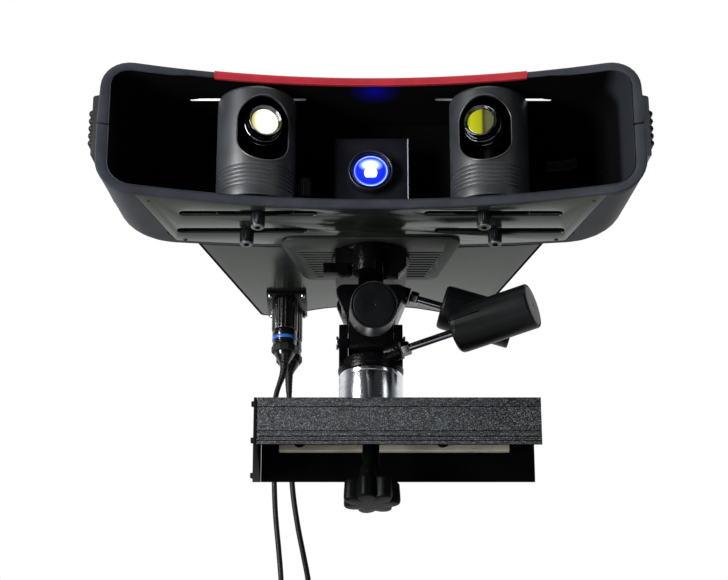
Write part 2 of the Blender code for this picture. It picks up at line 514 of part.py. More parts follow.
def camera_side(side, word):
    """One camera turret with its carriage, nuts and camera, left for side -1 and right for side 1."""
    axis = deck(side * (TURRET_LEFT_SIDE if side < 0 else TURRET_RIGHT_SIDE), TURRET_BACK, 0)
    clamp = deck(side * STUD_SIDE, TURRET_BACK, 0)
    up = Vector((0, 0, 1))

    half_deep, half_wide = CARRIAGE_HALF_DEEP, CARRIAGE_HALF_WIDE
    carriage = box(f"carriage_{word}", axis + Vector((-half_wide, -half_deep, DECK_TOP)),
                   axis + Vector((half_wide, half_deep, CARRIAGE_TOP)), "bare_aluminium")
    bore = PIVOT_RADIUS + RUNNING
    cut(carriage, rod(f"pivot_hole_{word}", axis + up * (TURRET_LOW - PIVOT_DEEP - GAP),
                      axis + up * (TURRET_LOW + OVERRUN), bore))
    for place, way in (("front", -1), ("rear", 1)):
        stud = clamp + Vector((side * STUD_TOE_SHIFT * way, STUD_HALF_SPACING * way, 0))
        join(carriage, rod(f"stud_{word}_{place}", stud - up * STUD_DEEP,
                           stud + up * (DECK_TOP + OVERRUN / 2), STUD_RADIUS, sides=12))
        hole = STUD_RADIUS + RUNNING
        turned(f"thumb_nut_{word}_{place}", [(NUT_RADIUS, -GAP), (NUT_RADIUS, -GAP - NUT_TALL),
                                             (hole, -GAP - NUT_TALL), (hole, -GAP)],
               stud, up, "black_metal", steps=14, closed=True)

    profile = [(0, TURRET_HIGH + TOP_PIN_TALL), (TOP_PIN_RADIUS, TURRET_HIGH + TOP_PIN_TALL),
               (TOP_PIN_RADIUS, TURRET_HIGH), (TURRET_RADIUS, TURRET_HIGH)]
    for i in reversed(range(GROOVE_COUNT)):
        rise = GROOVE_FIRST + i * GROOVE_PITCH
        profile += [(TURRET_RADIUS, rise + GROOVE_WIDE / 2), (TURRET_RADIUS - GROOVE_DEEP, rise),
                    (TURRET_RADIUS, rise - GROOVE_WIDE / 2)]
    profile += [(TURRET_RADIUS, TURRET_LOW), (PIVOT_RADIUS, TURRET_LOW),
                (PIVOT_RADIUS, TURRET_LOW - PIVOT_DEEP), (0, TURRET_LOW - PIVOT_DEEP)]
    turret = turned(f"turret_{word}", profile, axis, up, "turret_plastic", steps=24)
    inside = TURRET_RADIUS - TURRET_WALL
    cut(turret, rod(f"turret_hollow_{word}", axis + up * (TURRET_LOW + TURRET_ROOF),
                    axis + up * (TURRET_HIGH - TURRET_ROOF), inside, sides=24))
    window = WINDOW_WIDE / 2
    way = toed_in(side, WINDOW_TOE_LEFT if side < 0 else WINDOW_TOE_RIGHT)
    across = up.cross(way)
    plane = Matrix((across, up, across.cross(up))).transposed().to_4x4()
    plane.translation = axis
    reach = 1 if plane.col[2].to_3d().dot(way) > 0 else -1
    high, low = LENS_RISE + WINDOW_ABOVE_LENS - window, LENS_RISE - WINDOW_BELOW_LENS + window
    stadium = arc(0, high, window, 0, 180, 10) + arc(0, low, window, 180, 360, 10)
    ends = sorted((0, reach * (TURRET_RADIUS + OVERRUN)))
    cut(turret, outline(f"window_{word}", stadium, ends[0], ends[1], plane=plane))

    lens, way = axis + up * LENS_RISE, toed_in(side, LENS_TOE)
    floor = TURRET_LOW + TURRET_ROOF + GAP
    back = lens + way * (CAMERA_FRONT - CAMERA_DEEP)
    middle = lens + way * (CAMERA_FRONT - CAMERA_DEEP / 2)
    turn = Matrix.Rotation(math.atan2(way.x, -way.y), 4, "Z")
    shape = bmesh.new()
    bmesh.ops.create_cube(shape, size=1)
    size = Matrix.Diagonal((2 * CAMERA_HALF, CAMERA_DEEP, 2 * CAMERA_HALF, 1))
    bmesh.ops.transform(shape, verts=shape.verts, matrix=Matrix.Translation(middle) @ turn @ size)
    module = keep(f"camera_{word}", mesh_of("camera", shape), "black_metal")
    foot = Vector((middle.x, middle.y, axis.z))
    join(module, rod(f"bracket_{word}", foot + up * floor, foot + up * (LENS_RISE - CAMERA_HALF + OVERRUN),
                     BRACKET_HALF, sides=12))

    start = CAMERA_FRONT + GAP
    cone = LENS_FRONT - LENS_CONE_DEEP
    barrel = turned(f"lens_barrel_{word}", [
        (0, cone), (LENS_CONE_RADIUS, cone), (LENS_BORE, LENS_FRONT), (LENS_RADIUS, LENS_FRONT),
        (LENS_RADIUS, start), (0, start)], lens, way, "black_metal", steps=20)
    barrel.location = lens
    hole = LENS_RADIUS + RUNNING
    turned(f"focus_ring_{word}", [(FOCUS_RADIUS, FOCUS_START + FOCUS_LONG), (FOCUS_RADIUS, FOCUS_START),
                                  (hole, FOCUS_START), (hole, FOCUS_START + FOCUS_LONG)],
           lens, way, "black_metal", steps=20, closed=True)
    seat = cone + GAP
    turned(f"filter_glass_{word}", [(0, seat + FILTER_THICK), (FILTER_RADIUS, seat + FILTER_THICK),
                                    (FILTER_RADIUS, seat), (0, seat)], lens, way, "filter_glass", steps=16)


def projector():
    axis = deck(0, 0, PROJECTOR_RISE)
    way = Vector((0, -1, 0))
    back = HOOD_DEEP - BACK_WALL - GAP
    hollow = HOOD_REAR_RADIUS - math.sqrt(HOOD_REAR_RADIUS**2 - HOUSING_HALF**2)
    house = box("projector_housing", deck(-HOUSING_HALF, HOUSING_FRONT, TURRET_LOW),
                deck(HOUSING_HALF, back - hollow, HOUSING_HIGH), "satin_black")
    bevel(house, RED_THICK / 2)
    cut(house, rod("engine_hole", deck(0, HOUSING_FRONT - OVERRUN, PROJECTOR_RISE),
                   deck(0, HOOD_DEEP, PROJECTOR_RISE), ENGINE_RADIUS + RUNNING, sides=28))
    bore = -PROJECTOR_FRONT - ENGINE_BORE_DEEP
    mouth, tail = -PROJECTOR_FRONT, -back + GAP
    turned("projector_barrel", [
        (0, bore), (ENGINE_BORE, bore), (ENGINE_BORE, mouth), (ENGINE_RADIUS, mouth),
        (ENGINE_RADIUS, tail), (0, tail)], axis, way, "black_metal", steps=24)
    hole = ENGINE_RADIUS + RUNNING
    turned("projector_focus_ring", [
        (RING_RADIUS, mouth), (RING_RADIUS, mouth - RING_LONG), (hole, mouth - RING_LONG), (hole, mouth)],
        axis, way, "black_metal", steps=24, closed=True)
    seat = bore + GAP
    rim = seat + GLASS_THICK
    dome = [(0, rim + GLASS_DOME), (GLASS_RADIUS / 2, rim + GLASS_DOME * 3 / 4), (GLASS_RADIUS, rim),
            (GLASS_RADIUS, seat), (0, seat)]
    turned("projector_glass", dome, axis, way, "projector_glass", steps=20)


def body_outline(inset, front_inset):
    """The rear housing in plan: front along the hood's back, tapered sides, a hollow rear edge."""
    steps = 8
    half = BODY_FRONT_HALF - inset
    points = []
    for i in range(steps + 1):
        x = -half + 2 * half * i / steps
        points.append((x, rear_y(x) + GAP + front_inset))
    rear_half = BODY_REAR_HALF - inset
    rear = BODY_REAR - inset
    for i in range(steps + 1):
        x = rear_half - 2 * rear_half * i / steps
        share = min(1.0, max(0.0, (abs(x) - BODY_NOTCH_HALF) / (BODY_REAR_HALF - BODY_NOTCH_HALF)))
        notch = BODY_NOTCH * (1 - share * share * (3 - 2 * share))
        points.append((x, FRONT_Y + rear - notch))
    return points


def rear_housing():
    body = outline("rear_housing", body_outline(0, 0), DECK_Z, DECK_Z + BODY_TALL, "satin_black")
    bevel(body, BODY_ROUND)
    cut(body, outline("body_hollow", body_outline(BODY_WALL, -OVERRUN), DECK_Z + BODY_WALL,
                      DECK_Z + BODY_TALL - BODY_WALL))
    cut(body, rod("body_screw_hole", head(0, 0, -OVERRUN), head(0, 0, BODY_WALL + OVERRUN),
                  QUICK_SCREW_RADIUS + RUNNING))


def vent_panel():
    half_f, half_r, r = VENT_FRONT_HALF, VENT_REAR_HALF, VENT_ROUND
    front, rear = FRONT_Y + VENT_FRONT, FRONT_Y + VENT_REAR
    points = (arc(half_f - r, front + r, r, -90, 0, 3) + arc(half_r - r, rear - r, r, 15, 90, 3)
              + arc(-half_r + r, rear - r, r, 90, 165, 3) + arc(-half_f + r, front + r, r, 180, 270, 3))
    panel = outline("vent_panel", points, VENT_LOW, VENT_LOW + VENT_THICK, "turret_plastic")
    cut(panel, rod("vent_screw_hole", head(0, 0, -QUICK_RADIUS), head(0, 0, OVERRUN),
                   QUICK_SCREW_RADIUS + RUNNING))
    slits = bmesh.new()
    for side in (-1, 1):
        for i in range(SLIT_COUNT):
            outer = SLIT_FRONT_OUT + (SLIT_REAR_OUT - SLIT_FRONT_OUT) * i / (SLIT_COUNT - 1)
            long, back = outer - SLIT_INNER, FRONT_Y + SLIT_FIRST + i * SLIT_PITCH
            middle = Vector((side * (outer + SLIT_INNER) / 2, back, VENT_LOW + VENT_THICK / 2))
            size = Matrix.Diagonal((long, SLIT_WIDE, VENT_THICK + OVERRUN, 1))
            bmesh.ops.create_cube(slits, size=1, matrix=Matrix.Translation(middle) @ size)
    cut(panel, keep("slits", mesh_of("slits", slits)))


def electronics():
    """Control board on standoffs, the projector's heat sink and its fan, inside the rear housing."""
    floor = BODY_WALL + GAP
    board = box("control_board", deck(-BOARD_HALF, BOARD_FRONT, BOARD_RISE),
                deck(BOARD_HALF, BOARD_BACK, BOARD_RISE + BOARD_THICK), "circuit_board")
    for x in (-BOARD_HALF + STANDOFF_INSET, BOARD_HALF - STANDOFF_INSET):
        for back in (BOARD_FRONT + STANDOFF_INSET, BOARD_BACK - STANDOFF_INSET):
            join(board, rod(f"standoff_{x:.3f}_{back:.3f}", deck(x, back, floor),
                            deck(x, back, BOARD_RISE + BOARD_THICK / 2), STANDOFF_RADIUS, sides=8))
    low, high = DECK_Z + floor, DECK_Z + SINK_HIGH
    comb = [(SINK_HALF, FRONT_Y + SINK_FRONT), (SINK_HALF, FRONT_Y + SINK_FRONT + SINK_DEEP)]
    pitch = (2 * SINK_HALF - FIN_THICK) / (FIN_COUNT - 1)
    for i in range(FIN_COUNT - 1):
        x = SINK_HALF - FIN_THICK - i * pitch
        root, tip = FRONT_Y + SINK_FRONT + SINK_BASE, FRONT_Y + SINK_FRONT + SINK_DEEP
        comb += [(x, tip), (x, root), (x - pitch + FIN_THICK, root), (x - pitch + FIN_THICK, tip)]
    comb += [(-SINK_HALF, FRONT_Y + SINK_FRONT + SINK_DEEP), (-SINK_HALF, FRONT_Y + SINK_FRONT)]
    outline("heat_sink", comb, low, high, "bare_aluminium")

    fan_front = SINK_FRONT + SINK_DEEP + GAP
    middle = deck(0, fan_front + FAN_THICK / 2, FAN_RISE)
    low_corner = Vector((FAN_HALF, FAN_THICK / 2, FAN_HALF))
    frame = box("cooling_fan", middle - low_corner, middle + low_corner, "black_metal")
    back_way = Vector((0, 1, 0))
    bars = FAN_BAR_THICK
    cut(frame, rod("fan_hole", middle - back_way * FAN_THICK, middle + back_way * (FAN_THICK / 2 - bars),
                   FAN_BORE, sides=24))
    offset = (FAN_BAR_WIDE + FAN_PORT_WIDE) / 2
    for x in (-offset, offset):
        for z in (-offset, offset):
            half = Vector((FAN_PORT_WIDE / 2, FAN_THICK / 2, FAN_PORT_WIDE / 2))
            place = middle + Vector((x, FAN_THICK / 2, z))
            cut(frame, box(f"fan_port_{x:.4f}_{z:.4f}", place - half, place + half))
    hub_front, hub_back = -FAN_THICK / 2 + bars, FAN_THICK / 2 - bars - GAP
    impeller = rod("fan_impeller", middle + back_way * hub_front, middle + back_way * hub_back,
                   FAN_HUB_RADIUS, "turret_plastic", sides=16)
    for i in range(FAN_BLADES):
        blade = bmesh.new()
        swing = Matrix.Rotation(2 * math.pi * i / FAN_BLADES, 4, "Y")
        lean = Matrix.Rotation(math.radians(35), 4, "X")
        reach = FAN_BLADE_REACH - FAN_HUB_RADIUS / 2
        place = Matrix.Translation(middle) @ swing @ Matrix.Translation(
            ((FAN_BLADE_REACH + FAN_HUB_RADIUS / 2) / 2, 0, 0)) @ lean
        bmesh.ops.create_cube(blade, size=1, matrix=place @ Matrix.Diagonal(
            (reach, (hub_back - hub_front) * 0.8, FAN_BLADE_THICK, 1)))
        join(impeller, keep(f"blade_{i}", mesh_of("blade", blade)))
    pivot(impeller, middle)


def connectors():
    top = -GAP
    block = box("connector_block", deck(BLOCK_LEFT, BLOCK_FRONT, top - BLOCK_THICK),
                deck(BLOCK_RIGHT, BLOCK_BACK, top), "black_metal")
    up = Vector((0, 0, 1))
    for i, x, back in ((1, SOCKET_1_SIDE, SOCKET_1_BACK), (2, SOCKET_2_SIDE, SOCKET_2_BACK)):
        place = deck(x, back, 0)
        join(block, rod(f"socket_{i}", place - up * SOCKET_DROP, place - up * (BLOCK_THICK / 2),
                        SOCKET_RADIUS, sides=20))
        high = top - BLOCK_THICK - GAP
        turned(f"coupling_sleeve_{i}", [(SLEEVE_RADIUS, high), (SLEEVE_RADIUS, -SLEEVE_DROP),
                                        (SLEEVE_BORE, -SLEEVE_DROP), (SLEEVE_BORE, high)],
               place, up, "black_metal", steps=18, closed=True)
        core = -SOCKET_DROP - GAP
        rim = -SLEEVE_DROP - GAP
        turned(f"cord_plug_{i}", [
            (0, core), (SOCKET_RADIUS, core), (SOCKET_RADIUS, rim), (COLLAR_RADIUS, rim),
            (COLLAR_RADIUS, -COLLAR_DROP), (PLUG_NUT_RADIUS, -COLLAR_DROP), (PLUG_NUT_RADIUS, -PLUG_NUT_DROP),
            (PLUG_TIP_RADIUS, -PLUG_DROP), (0, -PLUG_DROP)], place, up, "black_metal", steps=18)


def smooth_through(points, step):
    """Evenly spaced points on a smooth curve through the route's own points (Catmull-Rom)."""
    points = [Vector(p) for p in points]
    ends = [2 * points[0] - points[1]] + points + [2 * points[-1] - points[-2]]
    fine = []
    parts = 12
    for a, b, c, d in zip(ends, ends[1:], ends[2:], ends[3:]):
        for i in range(parts):
            t = i / parts
            fine.append((2 * b + (c - a) * t + (2 * a - 5 * b + 4 * c - d) * t**2
                         + (3 * b - a - 3 * c + d) * t**3) / 2)
    fine.append(points[-1])
    along = [0.0]
    for a, b in zip(fine, fine[1:]):
        along.append(along[-1] + (b - a).length)
    count = max(2, round(along[-1] / step))
    spaced, k = [], 0
    for i in range(count + 1):
        want = along[-1] * i / count
        while k < len(along) - 2 and along[k + 1] < want:
            k += 1
        part = (want - along[k]) / max(along[k + 1] - along[k], MERGE)
        spaced.append(fine[k].lerp(fine[k + 1], part))
    return spaced, along[-1]


def coil_points(start, layer_way):
    """A neat hanging coil in a plane across Y: in from the top, wound in four layers, out at the side.

    The radius runs in and out again at a steady rate, a layer at a time. Each layer lies one pitch
    further along layer_way and is reached in the half turn round the place where the spiral turns.
    """
    pitch = CORD_DIAMETER * COIL_PITCH_SHARE
    layer_turns = COIL_TURNS / COIL_LAYERS
    outside = COIL_MIDDLE_RADIUS + pitch * layer_turns / 2
    entry = COIL_ENTRY_RADIUS
    centre = start + Vector((entry, 0, -CORD_DIAMETER - entry - outside))
    points = [start]
    for i in range(7):
        angle = math.radians(90 * i / 6)
        points.append(start + Vector((entry * (1 - math.cos(angle)), 0,
                                      -CORD_DIAMETER - entry * math.sin(angle))))
    count = round(COIL_TURNS * COIL_TURN_POINTS)
    for i in range(1, count + 1):
        turn = COIL_TURNS * i / count
        layer = min(COIL_LAYERS - 1, int(turn / layer_turns))
        part = turn / layer_turns - layer
        inward = part if layer % 2 == 0 else 1 - part
        radius = outside - pitch * layer_turns * inward
        rise = 0.0
        for border in range(1, COIL_LAYERS):
            near = min(1.0, max(0.0, (turn - border * layer_turns) * 2 + 0.5))
            rise += near * near * (3 - 2 * near)
        angle = 2 * math.pi * turn
        points.append(centre + Vector((radius * math.sin(angle), layer_way * pitch * rise,
                                       radius * math.cos(angle))))
    last = points[-1]
    points.append(last - Vector((0, 0, COIL_TAIL / 2)))
    points.append(last - Vector((0, 0, COIL_TAIL)))
    return points


def least_gap(points):
    """The least gap of a wound tube to itself, leaving out what lies within a quarter turn along it."""
    near = COIL_TURN_POINTS // 2
    best = math.inf
    for i, a in enumerate(points):
        for b, c in zip(points[i + near:], points[i + near + 1:]):
            way = c - b
            share = min(1.0, max(0.0, (a - b).dot(way) / way.length_squared))
            best = min(best, (a - b - way * share).length)
    return best - CORD_DIAMETER


def tube(name, points, rounding):
    curve = bpy.data.curves.new(name, "CURVE")
    curve.dimensions = "3D"
    curve.bevel_depth = CORD_DIAMETER / 2
    curve.bevel_resolution = rounding
    curve.use_fill_caps = True
    spline = curve.splines.new("POLY")
    spline.points.add(len(points) - 1)
    for target, point in zip(spline.points, points):
        target.co = (*point, 1)
    obj = bpy.data.objects.new(name, curve)
    curve.materials.append(finish("cord_jacket"))
    collection("scanner").objects.link(obj)
    return obj


def cords():
    up = Vector((0, 0, 1))
    for word, route, layer_way in (("left", LEFT_ROUTE, -1), ("right", RIGHT_ROUTE, 1)):
        points, long = smooth_through([deck(*p) for p in route], 2.2 * CORD_DIAMETER)
        tube(f"cable_{word}", points, CORD_SIDE_STEPS)
        wound = coil_points(points[-1] - up * GAP, layer_way)
        total = long + sum((b - a).length for a, b in zip(wound, wound[1:]))
        print(f"cord {word}: {total:.3f} m, coil gap to itself {least_gap(wound) * 1000:.2f} mm")
        tube(f"cable_coil_{word}", wound, 1)
        end = wound[-1] - up * GAP
        if word == "left":
            turned("power_plug", [(0, 0), (PLUG_TIP_RADIUS, 0), (PLUG_BODY_RADIUS, -PLUG_NOSE_LONG),
                                  (PLUG_BODY_RADIUS, -PLUG_LONG), (PLUG_NOSE_RADIUS, -PLUG_LONG),
                                  (PLUG_NOSE_RADIUS, -PLUG_LONG - PLUG_NOSE_LONG),
                                  (0, -PLUG_LONG - PLUG_NOSE_LONG)], end, up, "cord_jacket", steps=16)
        else:
            plug = box("data_plug", end - Vector((USB_HALF_WIDE, USB_HALF_THICK, PLUG_LONG)),
                       end + Vector((USB_HALF_WIDE, USB_HALF_THICK, 0)), "cord_jacket")
            bevel(plug, USB_SHELL_HALF_THICK / 2)
            shell = PLUG_LONG + PLUG_NOSE_LONG
            join(plug, box("plug_shell", end - Vector((USB_SHELL_HALF_WIDE, USB_SHELL_HALF_THICK, shell)),
                           end + Vector((USB_SHELL_HALF_WIDE, USB_SHELL_HALF_THICK, -PLUG_LONG / 2))))


def handle(word, start, way, rod_long, grip_long=GRIP_LONG):
    """A steel rod with its nut and a rubber grip, in line."""
    start, way = head(*start), Vector(way).normalized()
    steel = turned(f"{word}_handle_rod", [
        (0, rod_long + grip_long / 2), (ROD_RADIUS, rod_long + grip_long / 2), (ROD_RADIUS, ROD_NUT_LONG),
        (ROD_NUT_RADIUS, ROD_NUT_LONG), (ROD_NUT_RADIUS, 0), (0, 0)], start, way, "polished_steel", steps=12)
    hole = ROD_RADIUS + GAP
    first, last = rod_long, rod_long + grip_long
    turned(f"{word}_handle_grip", [
        (0, last), (GRIP_RADIUS - GRIP_ROUND, last), (GRIP_RADIUS, last - GRIP_ROUND),
        (GRIP_RADIUS, first + 2 * GRIP_ROUND), (GRIP_RADIUS - 2 * GRIP_ROUND, first), (hole, first),
        (hole, first + grip_long / 2 + GAP), (0, first + grip_long / 2 + GAP)],
        start, way, "grip_rubber", steps=18)
    return steel


def boss(name, start, way, long):
    """A short round boss that ends where a handle starts, to be joined to a casting."""
    start, way = head(*start), Vector(way).normalized()
    return rod(name, start - way * (long + GAP), start - way * GAP, BOSS_RADIUS, sides=16)


def across_plane(x):
    """Local XY to world YZ, extruded along world X, through the post's axis."""
    plane = Matrix(((0, 0, 1, x), (1, 0, 0, AXIS_Y), (0, 1, 0, 0), (0, 0, 0, 1)))
    return plane


def facing_plane(back):
    """Local XY to world XZ, extruded along world -Y."""
    return Matrix(((1, 0, 0, 0), (0, 0, -1, AXIS_Y + back), (0, 1, 0, 0), (0, 0, 0, 1)))


def pan_base():
    up = Vector((0, 0, 1))
    base = turned("pan_base", [(0, COLLAR_TALL), (POST_RADIUS, COLLAR_TALL), (POST_RADIUS, 0), (0, 0)],
                  (0, AXIS_Y, BASE_LOW), up, "black_metal", steps=32)
    low = BASE_LOW + COLLAR_TALL / 2
    ear = [(-EAR_RADIUS, low), (EAR_RADIUS, low)] + arc(0, TILT_Z, EAR_RADIUS, 0, 180, 10)
    for side in (-1, 1):
        ends = sorted((side * (POST_RADIUS - EAR_THICK), side * (POST_RADIUS - GAP)))
        join(base, outline(f"ear_{side}", ear, ends[0], ends[1], plane=across_plane(0)))
    hole, reach = PIN_RADIUS + GAP, POST_RADIUS * 2
    cut(base, rod("tilt_pin_hole", (-reach, AXIS_Y, TILT_Z), (reach, AXIS_Y, TILT_Z), hole))
    join(base, boss("pan_boss", PAN_START, PAN_WAY, BOSS_LONG + BOSS_RADIUS))


def cross_pin(name, place, way, half, finish_name=None):
    head_end = half + GAP + PIN_HEAD_THICK
    return turned(name, [(0, head_end), (PIN_HEAD_RADIUS, head_end), (PIN_HEAD_RADIUS, half + GAP),
                         (PIN_RADIUS, half + GAP), (PIN_RADIUS, -half - GAP), (PIN_HEAD_RADIUS, -half - GAP),
                         (PIN_HEAD_RADIUS, -head_end), (0, -head_end)], place, way, finish_name, steps=16)


def tilt_body():
    inner = POST_RADIUS - EAR_THICK - GAP
    body = rod("tilt_body", (-inner, AXIS_Y, TILT_Z), (inner, AXIS_Y, TILT_Z), BARREL_RADIUS,
               "black_metal", sides=28)
    low, high = TILT_Z + VEE_LOW_RISE, ROLL_Z + VEE_TOP_ABOVE_ROLL
    vee = [(-VEE_LOW_HALF, low), (VEE_LOW_HALF, low)]
    vee += arc(VEE_TOP_HALF - VEE_CORNER, high - VEE_CORNER, VEE_CORNER, -10, 90, 4)
    vee += arc(-VEE_TOP_HALF + VEE_CORNER, high - VEE_CORNER, VEE_CORNER, 90, 190, 4)
    deep = BODY_HALF_DEPTH
    join(body, outline("vee", vee, -deep, deep, plane=facing_plane(0)))
    neck = inner - GAP
    join(body, box("neck", (-neck, AXIS_Y - BARREL_RADIUS + GAP, TILT_Z),
                   (neck, AXIS_Y + BARREL_RADIUS - GAP, low + OVERRUN)))
    slot = TONGUE_HALF_DEPTH + RUNNING
    cut(body, box("tongue_slot", (-VEE_TOP_HALF - OVERRUN, AXIS_Y - slot, ROLL_Z - TONGUE_RADIUS - RUNNING),
                  (SLOT_RIGHT, AXIS_Y + slot, high + OVERRUN)))
    join(body, boss("tilt_boss", TILT_START, TILT_WAY, BOSS_LONG + BOSS_RADIUS),
         boss("roll_boss", ROLL_START, ROLL_WAY, BOSS_LONG + BOSS_RADIUS / 2))
    hole, reach = PIN_RADIUS + GAP, POST_RADIUS
    cut(body, rod("tilt_bore", (-reach, AXIS_Y, TILT_Z), (reach, AXIS_Y, TILT_Z), hole, sides=20),
        rod("roll_bore", (0, AXIS_Y - reach, ROLL_Z), (0, AXIS_Y + reach, ROLL_Z), hole, sides=20))
    pivot(body, (0, AXIS_Y, TILT_Z))


def platform():
    low, high = PLATFORM_LOW, PLATFORM_TOP
    plate = box("platform", (-PLATFORM_HALF, AXIS_Y - PLATFORM_FRONT, low),
                (PLATFORM_HALF, AXIS_Y + PLATFORM_BACK, high), "black_metal")
    half = TONGUE_HALF_DEPTH
    tongue = [(TONGUE_RADIUS, low + OVERRUN)] + [(-TONGUE_RADIUS, low + OVERRUN)]
    tongue += arc(0, ROLL_Z, TONGUE_RADIUS, 180, 360, 12)
    join(plate, outline("tongue", tongue, -half, half, plane=facing_plane(0)))
    block_low, left, right = low - FRONT_BLOCK_DROP, FRONT_BLOCK_LEFT, PLATFORM_HALF
    chamfer = FRONT_BLOCK_CHAMFER
    block = [(left, block_low), (right - chamfer, block_low), (right, block_low + chamfer),
             (right, low + OVERRUN), (left, low + OVERRUN)]
    front, back = PLATFORM_FRONT - GAP, FRONT_BLOCK_BACK
    join(plate, outline("front_block", block, back, front, plane=facing_plane(0)))
    join(plate, rod("hub", (-HUB_SIDE, AXIS_Y - HUB_FORWARD, block_low),
                    (-HUB_SIDE, AXIS_Y - HUB_FORWARD, high - GAP), HUB_RADIUS, sides=24))
    join(plate, cross_pin("roll_pin", (0, AXIS_Y, ROLL_Z), (0, 1, 0), BODY_HALF_DEPTH))
    lever_x, lever_y = -LEVER_PIVOT_SIDE, AXIS_Y - (PLATFORM_FRONT + FRONT_BLOCK_BACK) / 2
    pin_top = low + LEVER_PIN_DEEP
    cut(plate, rod("lever_hole", (lever_x, lever_y, low - OVERRUN), (lever_x, lever_y, pin_top + GAP),
                   LEVER_PIN_RADIUS + GAP, sides=12))
    pivot(plate, (0, AXIS_Y, ROLL_Z))

    end = LEVER_WIDE / 2
    shape = arc(lever_x, lever_y, end, -90, 90, 6) + [
        (lever_x - LEVER_LONG + end, lever_y + end), (lever_x - LEVER_LONG + end, lever_y - end)]
    top = low - GAP
    lever = outline("quick_lever", shape, top - LEVER_THICK, top, "black_metal")
    join(lever, rod("lever_pin", (lever_x, lever_y, top - LEVER_THICK / 2), (lever_x, lever_y, pin_top),
                    LEVER_PIN_RADIUS, sides=12))
    pivot(lever, (lever_x, lever_y, top))

    top = QUICK_THICK
    turned("quick_plate", [(0, top + QUICK_SCREW_TALL), (QUICK_SCREW_RADIUS, top + QUICK_SCREW_TALL),
                           (QUICK_SCREW_RADIUS, top), (QUICK_RADIUS, top), (QUICK_RADIUS, 0), (0, 0)],
           (0, AXIS_Y, QUICK_LOW), Vector((0, 0, 1)), "black_metal", steps=24)


def post_and_knob():
    up = Vector((0, 0, 1))
    bore = POST_BORE_RADIUS
    turned("post", [(0, POST_HEIGHT), (POST_RADIUS, POST_HEIGHT), (POST_RADIUS, 0), (bore, 0),
                    (bore, POST_BORE_DEEP), (0, POST_BORE_DEEP)], (0, AXIS_Y, POST_LOW), up,
           "polished_steel", steps=30)
    stem_top = RAIL_TOP - RAIL_TOP_THICK - GAP
    hub_top = stem_top - KNOB_STEM_TALL
    star_top = hub_top - KNOB_HUB_TALL
    points = []
    steps = 6 * KNOB_LOBES
    for i in range(steps):
        angle = 2 * math.pi * i / steps
        radius = KNOB_RADIUS + KNOB_WAVE * math.cos(KNOB_LOBES * angle)
        points.append((radius * math.cos(angle), AXIS_Y + radius * math.sin(angle)))
    knob = outline("star_knob", points, star_top - KNOB_THICK, star_top, "grip_rubber")
    join(knob, turned("knob_stem", [
        (0, POST_LOW + POST_BORE_DEEP - OVERRUN), (KNOB_THREAD_RADIUS, POST_LOW + POST_BORE_DEEP - OVERRUN),
        (KNOB_THREAD_RADIUS, stem_top), (KNOB_STEM_RADIUS, stem_top), (KNOB_STEM_RADIUS, hub_top),
        (KNOB_HUB_RADIUS, hub_top), (KNOB_HUB_RADIUS, star_top - KNOB_THICK / 2),
        (0, star_top - KNOB_THICK / 2)], (0, AXIS_Y, 0), up, steps=20))
    pivot(knob, (0, AXIS_Y, star_top))


def rail_profile():
    """The open-bottomed channel seen along X, with level grooves in both side faces."""
    half, top, low = RAIL_DEPTH / 2, RAIL_HEIGHT / 2, -RAIL_HEIGHT / 2
    side = [(half, top)]
    for drop in RAIL_GROOVE_DROPS:
        z = top - drop
        inner = half - RAIL_GROOVE_DEEP
        side += [(half, z + RAIL_GROOVE_WIDE / 2), (inner, z + RAIL_GROOVE_WIDE / 2),
                 (inner, z - RAIL_GROOVE_WIDE / 2), (half, z - RAIL_GROOVE_WIDE / 2)]
    side += [(half, low), (half - RAIL_WALL, low), (half - RAIL_WALL, top - RAIL_TOP_THICK)]
    return side + [(-y, z) for y, z in reversed(side)]


def rail_parts():
    rail = outline("rail", rail_profile(), RAIL_LEFT, RAIL_RIGHT, "hammertone", plane=across_plane(0))
    cut(rail, rod("stem_hole", (0, AXIS_Y, 0), (0, AXIS_Y, RAIL_TOP + OVERRUN), POST_BORE_RADIUS))

    right = RAIL_LEFT - GAP
    wedge = [(right, -RAIL_DEPTH), (right, 0), (right - CAP_BACK_THICK, 0),
             (right - CAP_FRONT_THICK, -RAIL_DEPTH)]
    cap = outline("rail_end_cap", wedge, -RAIL_TOP, RAIL_TOP, "black_metal")
    inset = CAP_SCREW_INSET
    for y in (-RAIL_DEPTH + inset, -inset):
        thick = CAP_BACK_THICK + (CAP_BACK_THICK - CAP_FRONT_THICK) * y / RAIL_DEPTH
        for z in (-RAIL_TOP + inset, RAIL_TOP - inset):
            join(cap, rod(f"cap_screw_{y:.3f}_{z:.3f}", (right - thick - CAP_SCREW_HIGH, y, z),
                          (right - thick / 2, y, z), CAP_SCREW_RADIUS, sides=10))

    back = -RAIL_WALL - GAP
    low = RAIL_TOP - STRIP_LOW_DROP
    strip = box("light_strip", (STRIP_LEFT, back - STRIP_DEEP, low), (STRIP_RIGHT, back, low + STRIP_TALL),
                "warm_grey")
    front = back - STRIP_DEEP - AXIS_Y
    roof = RAIL_TOP - RAIL_TOP_THICK - GAP
    for x in STRIP_CLIP_PLACES:
        clip = arc(x, low + STRIP_TALL + STRIP_CLIP_RISE, STRIP_CLIP_RADIUS, 180, 360, 10)
        clip += [(x + STRIP_CLIP_RADIUS, roof), (x - STRIP_CLIP_RADIUS, roof)]
        join(strip, outline(f"clip_{x}", clip, -STRIP_DEEP / 2, STRIP_CLIP_PROUD, plane=facing_plane(front)))


